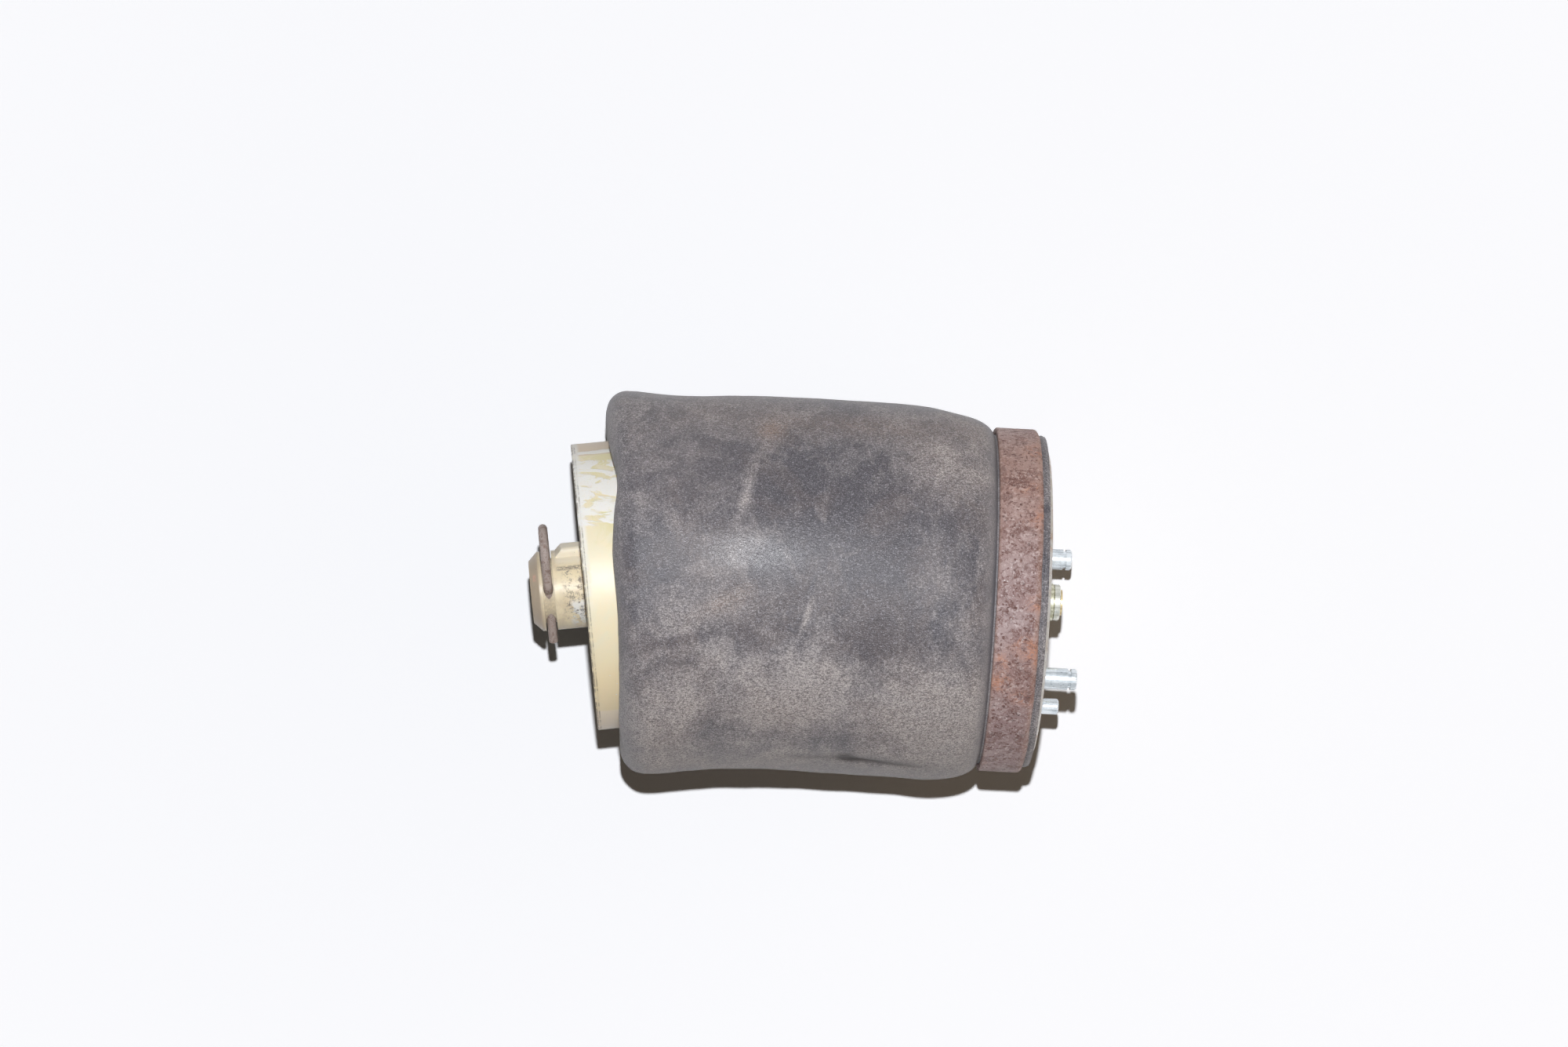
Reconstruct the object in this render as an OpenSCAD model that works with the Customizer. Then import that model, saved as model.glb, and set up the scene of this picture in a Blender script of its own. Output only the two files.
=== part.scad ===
// Rolling-lobe air suspension spring, lying on its side as it is stored on a bench.
// +X is the axis of the mounting plate and points out of its face, +Z is up and
// the origin is the centre of the mounting face. The piston hangs tilted in the
// soft rubber, so it has a frame of its own, which module in_piston() places.

/* [Resting pose] */
// Depth by which the bench flattens the underside of the sleeve
bench_press = 0.8; // [0.3:0.1:1.5]
// Distance from the mounting face back to the point about which the piston tilts
tilt_back = 138; // [134:1:150]
// Sideways shift of that point
tilt_shift = 1.5; // [0:0.5:2]
// Sideways tilt of the piston in the slack rubber
tilt_side = 8.5; // [0:0.5:9]
// Upward tilt of the piston in the slack rubber
tilt_up = 3.5; // [0:0.5:4]
// Sideways tilt of the rubber's roll, which follows the piston only in part
roll_tilt = 5.5; // [0:0.5:6]
// Sideways bow of the sleeve between the crimp ring and the roll
side_bow = 2.4; // [0:0.2:3]

/* [Mounting plate] */
// Diameter of the pressed plate over its flange
plate_d = 119; // [116:0.5:122]
// Thickness of the plate's sheet
plate_t = 2.5; // [2:0.1:3]
// Depth of the flange behind the mounting face
flange_depth = 23; // [21:0.5:26]
// Outer corner radius between face and flange
plate_corner = 3; // [2.6:0.1:4]
// Radius of the stiffening bead pressed into the face
bead_r = 50; // [49:0.5:51]
// Width of the stiffening bead
bead_w = 5; // [3:0.5:6]
// Depth of the stiffening bead
bead_depth = 1.2; // [0.6:0.1:1.6]

/* [Crimp ring at the plate] */
// Width of the ring
ring_w = 16; // [12:0.5:17]
// Thickness of the ring
ring_t = 2.3; // [1.6:0.1:3]
// Distance of the ring behind the mounting face
ring_back = 4; // [3:0.5:5]
// Radius of the ring's rolled front edge
ring_edge = 1.9; // [1:0.1:2.2]

/* [Bellows] */
// Thickness of the free rubber wall
wall_t = 3; // [2.4:0.1:3.4]
// Thickness of the rubber squeezed under the crimp ring
squeezed_t = 2.3; // [2:0.1:2.8]
// Distance of the rubber's cut end behind the mounting face
lip_back = 0.8; // [0.4:0.1:2]
// Radius of the middle of the wall where the sleeve is straight
sleeve_r = 68.8; // [67:0.2:69.6]
// Radius of the middle of the wall where the sleeve turns into the roll
roll_outer_r = 70.5; // [68.5:0.2:71]
// Length over which the sleeve swells behind the crimp ring
swell_length = 24; // [16:1:30]
// Length of the inner leg that lies on the skirt
leg_length = 31; // [26:1:32]

/* [Piston shell] */
// Diameter of the skirt that the rubber rolls on
skirt_d = 108; // [105:0.5:109]
// Wall of the shell
shell_t = 4; // [3:0.5:5]
// Distance from the tilt point out to the piston's end face
skirt_out = 34; // [32:0.5:40]
// Distance from the tilt point in to the shoulder
shoulder_in = 24; // [22:0.5:26]
// Radius of the rounded shoulder
shoulder_r = 7; // [5:0.5:9]
// Diameter of the neck that the rubber is clamped on
neck_d = 80; // [74:1:82]
// Length of the neck above the shoulder
neck_l = 16; // [15:0.5:19]
// Number of air holes through the neck's top
air_holes = 6; // [4:1:8]
// Diameter of each air hole
air_hole_d = 8; // [5:0.5:9]

/* [Piston base] */
// Thickness of the base's rim, which shows as a thin edge
rim_t = 1.2; // [0.8:0.1:2]
// Depth of the shallow pockets between the ribs
pocket_depth = 3; // [2:0.5:3.5]
// Thickness of the web behind the pockets
web_t = 4; // [3:0.5:6]
// Number of radial ribs
ribs = 12; // [10:1:14]
// Thickness of each rib
rib_t = 2.5; // [1.6:0.1:3]
// Depth by which the ribs stay behind the end face
rib_set_back = 0.6; // [0.3:0.1:1]
// Mean radius of the round rib between hub and rim
round_rib_r = 33; // [30:0.5:36]

/* [Nose] */
// Diameter of the nose
nose_d = 30; // [28:0.5:32]
// Length of the nose beyond the end face
nose_l = 20; // [19:0.5:24]
// Distance from the end face to the clip groove
groove_out = 11.3; // [10.6:0.1:12]
// Width of the clip groove
groove_w = 4.2; // [3.9:0.1:4.6]
// Chamfer at the tip
tip_chamfer = 3.3; // [1:0.1:3.4]
// Width of the locating key
key_w = 7.5; // [5:0.5:9]
// Height of the locating key above the nose
key_h = 2.8; // [1.5:0.1:3.5]
// Length of the locating key
key_l = 9.7; // [7:0.1:10.2]
// Angle of the locating key about the nose
key_angle = 22; // [0:1:60]
// Width of the flange that holds the nose behind the base
nose_flange_w = 5; // [3:0.5:8]
// Thickness of that flange
nose_flange_t = 3; // [2:0.5:5]

/* [Retaining clip] */
// Diameter of the clip's wire
wire_d = 3.4; // [3:0.1:3.6]
// Distance between the middles of the two legs
leg_gap = 19.6; // [18:0.2:20.4]
// Distance that the legs reach past the nose's axis, away from the bend
leg_past = 16.3; // [15.5:0.1:18]
// Distance from the nose's axis to the middle of the bend
bend_out = 15.7; // [15:0.1:18]
// Angle of the clip about the nose
clip_angle = 30; // [0:1:60]

/* [Clamp ring on the neck] */
// Width of the clamp ring
clamp_w = 7.5; // [6:0.5:8]
// Thickness of the clamp ring
clamp_t = 2.2; // [1.6:0.1:2.8]
// Thickness of the rubber squeezed under the clamp ring
clamped_t = 2.6; // [2.2:0.1:2.8]

/* [Bump stop] */
// Diameter of the bump stop's foot
bump_d = 50; // [44:1:54]
// Height of the bump stop
bump_h = 37; // [30:1:42]
// Diameter of the bump stop's tip
bump_tip_d = 34; // [28:1:38]
// Diameter of the knob that the bump stop snaps over
knob_d = 22; // [18:0.5:24]
// Height of that knob
knob_h = 11; // [9:0.5:13]

/* [Studs] */
// Radius of the circle on which the two locating studs stand
stud_circle_r = 33.7; // [31.7:0.5:36.7]
// Diameter of the two grooved locating studs
stud_d = 8; // [7:0.5:9]
// Length of the locating studs beyond the mounting face
stud_l = 14; // [12:0.5:16]
// Angle of the first locating stud about the axis, from +Y towards +Z
stud_a_angle = -61.5; // [-75:0.5:-45]
// Angle of the second locating stud
stud_b_angle = 146; // [130:0.5:155]
// Diameter of the short indexing pin
index_d = 6; // [5:0.5:7]
// Length of the indexing pin beyond the mounting face
index_l = 10.2; // [7.2:0.5:11.2]
// Radius of the circle on which the indexing pin stands
index_circle_r = 41; // [39:0.5:42]
// Angle of the indexing pin
index_angle = 194; // [180:1:205]
// Width of the groove for a push-on washer
stud_groove_w = 1.1; // [0.8:0.1:1.4]
// Depth of that groove
stud_groove_depth = 0.7; // [0.4:0.1:1]
// Length of the head beyond the groove
stud_head_l = 2.2; // [1.8:0.1:3]

/* [Air connector] */
// Bore for the air line
line_d = 6.1; // [5.6:0.1:6.4]
// Diameter of the connector's body
body_d = 14; // [13.4:0.1:15]
// Height of the body's end above the mounting face
body_out = 5.6; // [5:0.1:7]
// Thickness of the collar that holds the collet in
collar_t = 2.2; // [1.8:0.1:2.6]
// Diameter of the collar
collar_d = 13.6; // [12.6:0.1:14]
// Diameter of the threaded shank, modelled plain
shank_d = 12; // [11.6:0.1:12.6]
// Depth of the shank's end behind the mounting face
shank_back = 14; // [13.5:0.1:16]
// Diameter of the boss welded behind the plate
boss_d = 22; // [19:0.5:26]
// Travel of the collet when it is pressed to free the line
collet_travel = 1; // [0.6:0.1:1]

/* [Residual pressure valve] */
// Diameter of the valve chamber in the shank
chamber_d = 7.2; // [6.8:0.1:7.4]
// Diameter of the throat that the poppet closes
throat_d = 3.2; // [2.4:0.1:3.6]
// Travel of the poppet
poppet_travel = 1.2; // [0.8:0.1:1.4]
// Diameter of the spring's wire
spring_wire_d = 0.5; // [0.4:0.05:0.6]
// Number of turns in the spring
spring_turns = 3; // [2:1:3]

/* [Hidden] */
$fn = 96;
eps = 0.01;              // overlap that lets two shapes of one piece fuse
slip = 0.05;             // clearance between metal pieces that fit each other
soft_gap = 0.35;         // clearance between rubber and each piece that it lies on

plate_r = plate_d / 2;
flange_in_r = plate_r - plate_t;
ring_in_r = plate_r + soft_gap + squeezed_t + soft_gap;
skirt_r = skirt_d / 2;
neck_r = neck_d / 2;
neck_top = shoulder_in + neck_l;
nose_r = nose_d / 2;
wire_r = wire_d / 2;
tunnel_r = wire_r + 0.15;
groove_floor_r = leg_gap / 2 + tunnel_r + 0.45;  // leaves a thin bridge over each leg
end_x = -skirt_out;                              // piston's end face in its own frame
groove_x = end_x - groove_out - groove_w / 2;    // middle of the clip groove
stud_collar_r = stud_d / 2 + 0.3;                // serrated collar pressed into the plate
index_collar_r = index_d / 2 + 0.3;
plate_hole_r = body_d / 2 + 0.3;

function arc(centre, radius, from, to, n = 6) =
    [for (i = [0 : n]) let (a = from + (to - from) * i / n) centre + radius * [cos(a), sin(a)]];

// A solid turned about +X from an outline of [x, radius] points
module turned(outline) {
    rotate([0, 90, 0]) rotate_extrude() polygon([for (p = outline) [p.y, p.x]]);
}

// A plain round bar along +X
module bar(x0, x1, r) {
    translate([x0, 0, 0]) rotate([0, 90, 0]) cylinder(h = x1 - x0, r = r);
}

// Moves what is drawn in the piston's frame to where the slack rubber holds it
module in_piston() {
    translate([-tilt_back, tilt_shift, 0]) rotate([0, tilt_up, tilt_side]) children();
}

// Puts a child at a stud's place on the mounting plate
module at_stud(circle_r, angle) {
    rotate([angle, 0, 0]) translate([0, circle_r, 0]) children();
}

// Mounting plate and what is fixed to it

module top_plate() {
    bead_in = bead_r - bead_w / 2;
    bead_out = bead_r + bead_w / 2;
    inner_corner = max(plate_corner - plate_t, 0.3);
    color("dimgray") difference() {
        turned(concat(
            [[0, 0], [0, bead_in], [-bead_depth, bead_in + bead_depth],
             [-bead_depth, bead_out - bead_depth], [0, bead_out]],
            arc([-plate_corner, plate_r - plate_corner], plate_corner, 0, 90),
            [[-flange_depth, plate_r], [-flange_depth, flange_in_r]],
            arc([-plate_corner, plate_r - plate_corner], inner_corner, 90, 0, 3),
            [[-plate_t, bead_out + 1], [-plate_t - bead_depth, bead_out - bead_depth + 0.5],
             [-plate_t - bead_depth, bead_in + bead_depth - 0.5], [-plate_t, bead_in - 1],
             [-plate_t, 0]]));
        bar(-plate_t - 1, 1, plate_hole_r);
        at_stud(stud_circle_r, stud_a_angle) bar(-plate_t - 1, 1, stud_collar_r + slip);
        at_stud(stud_circle_r, stud_b_angle) bar(-plate_t - 1, 1, stud_collar_r + slip);
        at_stud(index_circle_r, index_angle) bar(-plate_t - 1, 1, index_collar_r + slip);
    }
}

module upper_crimp_ring() {
    ring_out_r = ring_in_r + ring_t;
    back_edge = 0.8;
    front = -ring_back;
    back = front - ring_w;
    color("saddlebrown") turned(concat(
        [[back, ring_in_r], [front, ring_in_r]],
        arc([front - ring_edge, ring_out_r - ring_edge], ring_edge, 0, 90),
        arc([back + back_edge, ring_out_r - back_edge], back_edge, 90, 180, 3)));
}

// A stud from its weld head behind the plate to its grooved free end
module grooved_stud() {
    r = stud_d / 2;
    weld_head_r = r + 2.5;
    weld_head_t = 2;
    tip_chamfer_l = 0.6;
    groove_end = stud_l - stud_head_l;
    groove_start = groove_end - stud_groove_w;
    color("gainsboro") turned([
        [-plate_t - weld_head_t, 0], [-plate_t - weld_head_t, weld_head_r],
        [-plate_t - slip, weld_head_r], [-plate_t - slip, stud_collar_r], [0, stud_collar_r],
        [0, r], [groove_start, r], [groove_start, r - stud_groove_depth],
        [groove_end, r - stud_groove_depth], [groove_end, r], [stud_l - tip_chamfer_l, r],
        [stud_l, r - tip_chamfer_l], [stud_l, 0]]);
}

module locating_stud_a() {
    at_stud(stud_circle_r, stud_a_angle) grooved_stud();
}

module locating_stud_b() {
    at_stud(stud_circle_r, stud_b_angle) grooved_stud();
}

module index_pin() {
    r = index_d / 2;
    weld_head_r = r + 2;
    weld_head_t = 2;
    tip_chamfer_l = 0.6;
    color("gainsboro") at_stud(index_circle_r, index_angle) turned([
        [-plate_t - weld_head_t, 0], [-plate_t - weld_head_t, weld_head_r],
        [-plate_t - slip, weld_head_r], [-plate_t - slip, index_collar_r],
        [0, index_collar_r], [0, r], [index_l - tip_chamfer_l, r],
        [index_l, r - tip_chamfer_l], [index_l, 0]]);
}

// Air connector with its residual pressure valve

line_r = line_d / 2;
body_seat = -plate_t - 2.2;          // the body's shoulder rests on the boss here
seal_end = 0.6;                      // foot of the air line seal's pocket
seal_wire_r = 0.68;
seal_pocket_r = line_r + 0.02 + 2 * seal_wire_r + 0.02;
pocket_start = seal_end + 2 * seal_wire_r + 0.54;
pocket_r = seal_pocket_r + 0.15;
collet_foot_r = pocket_r - 0.1;
collet_stem_r = collet_foot_r - 0.5;
collar_hole_r = collet_stem_r + 0.1;
release_r = collet_stem_r + 0.9;     // flange that a finger presses
release_t = 0.7;
collar_out = body_out + collar_t;
line_stop = -6;                      // the air line ends here
throat_end = -8;                     // valve seat
body_seal_x = -7.9;
body_seal_wire_r = 0.58;
retainer_t = 1;
poppet_t = 1.2;
stem_r = 1.2;
guide_r = stem_r + 0.5;              // tube that guides the stem and stops the poppet

module weld_boss() {
    color("dimgray") difference() {
        bar(-shank_back - 2, -plate_t - slip, boss_d / 2);
        bar(-shank_back - 3, 0, shank_d / 2 + slip);
        bar(body_seat - slip, 0, body_d / 2 + slip);
    }
}

module connector_body() {
    body_seal_groove_w = 1.8;
    groove_floor = shank_d / 2 - 2 * body_seal_wire_r + 0.02;
    edge = 0.5;
    color("darkkhaki") difference() {
        turned([
            [-shank_back, 0], [-shank_back, shank_d / 2 - edge],
            [-shank_back + edge, shank_d / 2],
            [body_seal_x - body_seal_groove_w / 2, shank_d / 2],
            [body_seal_x - body_seal_groove_w / 2, groove_floor],
            [body_seal_x + body_seal_groove_w / 2, groove_floor],
            [body_seal_x + body_seal_groove_w / 2, shank_d / 2],
            [body_seat, shank_d / 2], [body_seat, body_d / 2],
            [body_out - edge, body_d / 2], [body_out, body_d / 2 - edge], [body_out, 0]]);
        bar(pocket_start, body_out + 1, pocket_r);
        bar(seal_end, pocket_start + eps, seal_pocket_r);
        bar(line_stop, seal_end + eps, line_r);
        bar(throat_end - eps, line_stop + eps, throat_d / 2);
        bar(-shank_back - 1, throat_end, chamber_d / 2);
    }
}

module ring_seal(x, centre_r, wire_radius) {
    translate([x, 0, 0]) rotate([0, 90, 0])
        rotate_extrude() translate([centre_r, 0]) circle(r = wire_radius, $fn = 32);
}

module connector_seal_ring() {
    color("black")
        ring_seal(body_seal_x, shank_d / 2 + 0.03 - body_seal_wire_r, body_seal_wire_r);
}

module air_line_seal() {
    color("black")
        ring_seal((seal_end + pocket_start) / 2, line_r + 0.02 + seal_wire_r, seal_wire_r);
}

module collet_collar() {
    recess = collet_travel + 0.1;
    edge = 0.4;
    color("gold") difference() {
        turned([[body_out, 0], [body_out, collar_d / 2], [collar_out - edge, collar_d / 2],
            [collar_out, collar_d / 2 - edge], [collar_out, 0]]);
        bar(body_out - 1, collar_out + 1, collar_hole_r);
        bar(collar_out - recess, collar_out + 1, release_r + 0.15);
    }
}

module collet() {
    foot_out = body_out - slip;
    foot_in = pocket_start + collet_travel + 0.1;
    release_in = collar_out + 0.1;
    color("goldenrod") difference() {
        turned([[foot_in, 0], [foot_in, collet_foot_r], [foot_out, collet_foot_r],
            [foot_out, collet_stem_r], [release_in, collet_stem_r], [release_in, release_r],
            [release_in + release_t, release_r], [release_in + release_t, 0]]);
        bar(foot_in - 1, release_in + 2, line_r);
    }
}

poppet_face = throat_end - slip;
poppet_back = poppet_face - poppet_t;
retainer_face = -shank_back + retainer_t;

module valve_poppet() {
    rim = 0.35;
    color("silver") turned([
        [retainer_face - 0.3, 0], [retainer_face - 0.3, stem_r], [poppet_back, stem_r],
        [poppet_back, chamber_d / 2 - rim], [poppet_face, chamber_d / 2 - rim],
        [poppet_face, 0]]);
}

module valve_retainer() {
    vents = 3;
    vent_r = 0.6;
    guide_end = poppet_back - poppet_travel - slip;
    color("silver") difference() {
        turned([[-shank_back, 0], [-shank_back, chamber_d / 2 - 0.02],
            [retainer_face, chamber_d / 2 - 0.02], [retainer_face, guide_r],
            [guide_end, guide_r], [guide_end, 0]]);
        bar(-shank_back - 1, guide_end + 1, stem_r + 0.1);
        for (i = [0 : vents - 1])
            rotate([i * 360 / vents, 0, 0]) translate([0, (chamber_d / 2 + guide_r) / 2, 0])
                bar(-shank_back - 1, retainer_face + 1, vent_r);
    }
}

// One coil spring as a tube swept along its helix
module valve_spring() {
    steps = 12;                      // rings in each turn
    sides = 8;
    wire = spring_wire_d / 2;
    coil_r = guide_r + 0.15 + wire;
    free_x0 = retainer_face + 0.1 + wire;
    free_x1 = poppet_back - 0.1 - wire;
    rings = steps * spring_turns;
    points = [for (i = [0 : rings]) for (j = [0 : sides - 1])
        let (turn = i * 360 / steps, r = coil_r + wire * cos(j * 360 / sides),
             x = free_x0 + (free_x1 - free_x0) * i / rings + wire * sin(j * 360 / sides))
        [x, r * cos(turn), r * sin(turn)]];
    sides_faces = [for (i = [0 : rings - 1]) for (j = [0 : sides - 1])
        let (a = i * sides + j, b = i * sides + (j + 1) % sides) each
        [[a, b, a + sides], [b, b + sides, a + sides]]];
    caps = [[for (j = [sides - 1 : -1 : 0]) j], [for (j = [0 : sides - 1]) rings * sides + j]];
    color("silver") polyhedron(points = points, faces = concat(sides_faces, caps));
}

// Rubber bellows: one wall, swept about the spring's bent axis

sides_round = 48;                        // facets around the bellows
axis_height = sleeve_r + wall_t / 2 - bench_press;   // the plate's axis over the bench
squeezed_r = ring_in_r - soft_gap - squeezed_t / 2;
leg_r = skirt_r + soft_gap + wall_t / 2;
roll_r = (roll_outer_r - leg_r) / 2;
shoulder_x = shoulder_in - tilt_back;    // the shoulder's face in the straight spring
leg_in_x = shoulder_x - shoulder_r;
roll_x = leg_in_x - leg_length;
ring_back_x = -ring_back - ring_w;
swell_x = ring_back_x - squeezed_t / 2 - soft_gap;
taper_l = 30;                            // length over which the sleeve widens to the roll
over_r = shoulder_r + soft_gap + wall_t / 2;
over_x = shoulder_x + soft_gap + wall_t / 2;
neck_wall_r = neck_r + soft_gap + clamped_t / 2;
neck_bend = 5;
rubber_end_x = neck_top - tilt_back - 1;

function smooth(t) = let (c = min(max(t, 0), 1)) c * c * (3 - 2 * c);

// Middle of the wall from the plate's lip to the neck. Each point is [x, radius, half the
// thickness, share], and its share says how far it follows the piston.
function straight(x, r, t, share) = [[x, r, t / 2, share]];
function bent(centre, radius, from, to, t, n) =
    [for (p = arc(centre, radius, from, to, n)) [p.x, p.y, t / 2, 1]];
wall_line = concat(
    straight(-lip_back, squeezed_r, squeezed_t, 0),
    straight(ring_back_x / 2, squeezed_r, squeezed_t, 0),
    [for (a = [0 : 15 : 90]) [swell_x - swell_length * (1 - cos(a)),
        squeezed_r + (sleeve_r - squeezed_r) * sin(a), (a < 30 ? squeezed_t : wall_t) / 2, 0]],
    [for (i = [1 : 4]) let (x0 = swell_x - swell_length, x1 = roll_x + taper_l)
        [x0 + (x1 - x0) * i / 4, sleeve_r, wall_t / 2, 0]],
    [for (i = [1 : 2]) [roll_x + taper_l * (1 - i / 3),
        sleeve_r + (roll_outer_r - sleeve_r) * smooth(i / 3), wall_t / 2, 0]],
    [for (a = [90 : 18 : 270]) [roll_x + roll_r * cos(a),
        (roll_outer_r + leg_r) / 2 + roll_r * sin(a), wall_t / 2, smooth((a - 90) / 180)]],
    [for (i = [1 : 2]) [roll_x + leg_length * i / 3, leg_r, wall_t / 2, 1]],
    bent([leg_in_x, skirt_r - shoulder_r], over_r, 90, 0, wall_t, 5),
    bent([over_x + neck_bend, neck_wall_r + neck_bend], neck_bend, 180, 270, clamped_t, 4),
    straight(rubber_end_x, neck_wall_r, clamped_t, 1));

// Both skins as one closed outline of [x, radius, share, least height over the bench]
last = len(wall_line) - 1;
function wall_normal(i) = let (
    a = wall_line[max(i - 1, 0)], b = wall_line[min(i + 1, last)],
    run = [b.x - a.x, b.y - a.y]) [run.y, -run.x] / norm(run);
function skin(i, side, least) = let (p = wall_line[i], q = [p.x, p.y] + side * p[2] * wall_normal(i))
    [q.x, q.y, p[3], least];
wall_outline = concat(
    [for (i = [0 : last]) skin(i, 1, 0)],
    [for (i = [last : -1 : 0]) skin(i, -1, wall_t)]);

// Where a point of the straight spring lies, if it follows the piston
function pitched(q) = [q.x * cos(tilt_up) + q.z * sin(tilt_up), q.y,
                       -q.x * sin(tilt_up) + q.z * cos(tilt_up)];
function yawed(q) = [q.x * cos(tilt_side) - q.y * sin(tilt_side),
                     q.x * sin(tilt_side) + q.y * cos(tilt_side), q.z];
function on_piston(q) = yawed(pitched(q + [tilt_back, 0, 0])) + [-tilt_back, tilt_shift, 0];
function on_leg(q) = on_piston(q + [smooth((leg_in_x - q.x) / leg_length)
                                    * q.y * (tan(tilt_side) - tan(roll_tilt)), 0, 0]);
// Where it lies, if it follows the sleeve, which bows and carries the roll askew
roll_moved = on_piston([roll_x, 0, 0]) - [roll_x, 0, 0];
function on_sleeve(q) = let (t = min(max((swell_x - q.x) / (swell_x - roll_x), 0), 1), s = smooth(t))
    q + s * roll_moved + [s * (q.z * tan(tilt_up) - q.y * tan(roll_tilt)), side_bow * sin(180 * t), 0];
function slack(q, share, least) = let (p = (1 - share) * on_sleeve(q) + share * on_leg(q))
    [p.x, p.y, max(p.z, least - axis_height)];

module bellows() {
    n = sides_round;
    m = len(wall_outline);
    points = [for (p = wall_outline) for (j = [0 : n - 1]) let (a = j * 360 / n)
        slack([p.x, p.y * cos(a), p.y * sin(a)], p[2], p[3])];
    faces = [for (i = [0 : m - 1]) for (j = [0 : n - 1])
        let (i2 = (i + 1) % m, j2 = (j + 1) % n) each
        [[i * n + j, i * n + j2, i2 * n + j], [i2 * n + j, i * n + j2, i2 * n + j2]]];
    color("darkslategray") polyhedron(points = points, faces = faces);
}

// Piston, drawn in its own frame with the nose towards -X

knob_stem_r = knob_d / 2 - 2;
knob_head_t = 3;
base_back = end_x + pocket_depth + web_t;    // inner face of the piston's base

module piston_shell() {
    top_t = 4;
    bead_l = 1.2;
    color("cornsilk") in_piston() difference() {
        turned(concat(
            [[end_x + rim_t, 0], [end_x + rim_t, skirt_r]],
            arc([shoulder_in - shoulder_r, skirt_r - shoulder_r], shoulder_r, 90, 0),
            [[shoulder_in, neck_r], [neck_top, neck_r],
             [neck_top, knob_stem_r], [neck_top + knob_h - 2 * knob_head_t, knob_stem_r],
             [neck_top + knob_h - knob_head_t, knob_d / 2],
             [neck_top + knob_h, knob_d / 2 - knob_head_t], [neck_top + knob_h, 0]]));
        turned(concat(
            [[end_x - 1, 0], [end_x - 1, skirt_r - shell_t]],
            arc([shoulder_in - shoulder_r, skirt_r - shoulder_r],
                max(shoulder_r - shell_t, 1), 90, 0, 3),
            [[shoulder_in - shell_t, neck_r - shell_t],
             [neck_top - top_t, neck_r - shell_t], [neck_top - top_t, 0]]));
        for (i = [0 : air_holes - 1])
            rotate([i * 360 / air_holes, 0, 0]) translate([0, (neck_r + bump_d / 2) / 2 - 1, 0])
                bar(neck_top - top_t - bead_l, neck_top + 1, air_hole_d / 2);
    }
}

module piston_base() {
    rim_in_r = skirt_r - shell_t - 0.2;
    rim_wall = 3;
    hub_r = nose_r + key_h + 2;
    web_x = end_x + pocket_depth;
    rib_face = end_x + rib_set_back;
    color("cornsilk") in_piston() difference() {
        union() {
            difference() {
                turned([[end_x, 0], [end_x, skirt_r - 0.4], [end_x + 0.4, skirt_r],
                    [end_x + rim_t - slip, skirt_r], [end_x + rim_t - slip, rim_in_r],
                    [base_back, rim_in_r], [base_back, 0]]);
                turned([[end_x - 1, hub_r], [end_x - 1, rim_in_r - rim_wall],
                    [web_x, rim_in_r - rim_wall], [web_x, hub_r]]);
            }
            for (i = [0 : ribs - 1])
                rotate([i * 360 / ribs, 0, 0])
                    translate([rib_face, hub_r - 1, -rib_t / 2])
                        cube([web_x - rib_face + 1, rim_in_r - rim_wall - hub_r + 2, rib_t]);
            difference() {
                bar(rib_face, web_x + 1, round_rib_r + rib_t / 2);
                bar(rib_face - 1, web_x + 2, round_rib_r - rib_t / 2);
            }
        }
        bar(end_x - 1, base_back + 1, nose_r + slip);
        key_bar(end_x - 1, base_back + 1, slip);
    }
}

// Length of the key's section, larger all round by grow
module key_bar(start, end, grow) {
    round_r = 1.8;
    middle = nose_r + key_h - round_r;
    side = key_w / 2 - round_r;
    section = concat([[0, -key_w / 2 - grow]],
        arc([middle, -side], round_r + grow, -90, 0, 4),
        arc([middle, side], round_r + grow, 0, 90, 4), [[0, key_w / 2 + grow]]);
    rotate([key_angle, 0, 0]) translate([start, 0, 0]) rotate([90, 0, 90])
        linear_extrude(height = end - start) polygon(section);
}

// Key along the nose, which passes the base's keyway and lets the piston stand in one way only
module key(end) {
    top = nose_r + key_h;
    chamfer = key_h - 0.3;
    intersection() {
        key_bar(end_x - key_l, end, 0);
        turned([[end, 0], [end, top + 1], [end_x - 1, top + 1], [end_x - key_l + chamfer, top],
            [end_x - key_l, top - chamfer], [end_x - key_l, 0]]);
    }
}

// Spigot that stands through the base, held by a flange behind it
module locating_nose() {
    tip_x = end_x - nose_l;
    flange_x = base_back + slip;
    core_r = 6;
    core_depth = 4;
    color("cornsilk") in_piston() difference() {
        union() {
            turned([[flange_x + nose_flange_t, 0],
                [flange_x + nose_flange_t, nose_r + nose_flange_w],
                [flange_x, nose_r + nose_flange_w], [flange_x, nose_r],
                [end_x - groove_out, nose_r], [end_x - groove_out, groove_floor_r],
                [end_x - groove_out - groove_w, groove_floor_r],
                [end_x - groove_out - groove_w, nose_r],
                [tip_x + tip_chamfer, nose_r], [tip_x, nose_r - tip_chamfer], [tip_x, 0]]);
            key(flange_x + nose_flange_t / 2);
        }
        bar(tip_x - 1, tip_x + core_depth, core_r);
        for (side = [-1, 1])
            rotate([clip_angle, 0, 0]) translate([groove_x, -nose_r - 1, side * leg_gap / 2])
                rotate([-90, 0, 0]) cylinder(h = 2 * nose_r + 2, r = tunnel_r);
    }
}

module lower_clamp_ring() {
    end = neck_top - 1.5;
    r = neck_r + soft_gap + clamped_t + soft_gap;
    edge = 0.6;
    color("dimgray") in_piston() turned(concat(
        [[end - clamp_w, r], [end, r]],
        arc([end - edge, r + clamp_t - edge], edge, 0, 90, 3),
        arc([end - clamp_w + edge, r + clamp_t - edge], edge, 90, 180, 3)));
}

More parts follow.
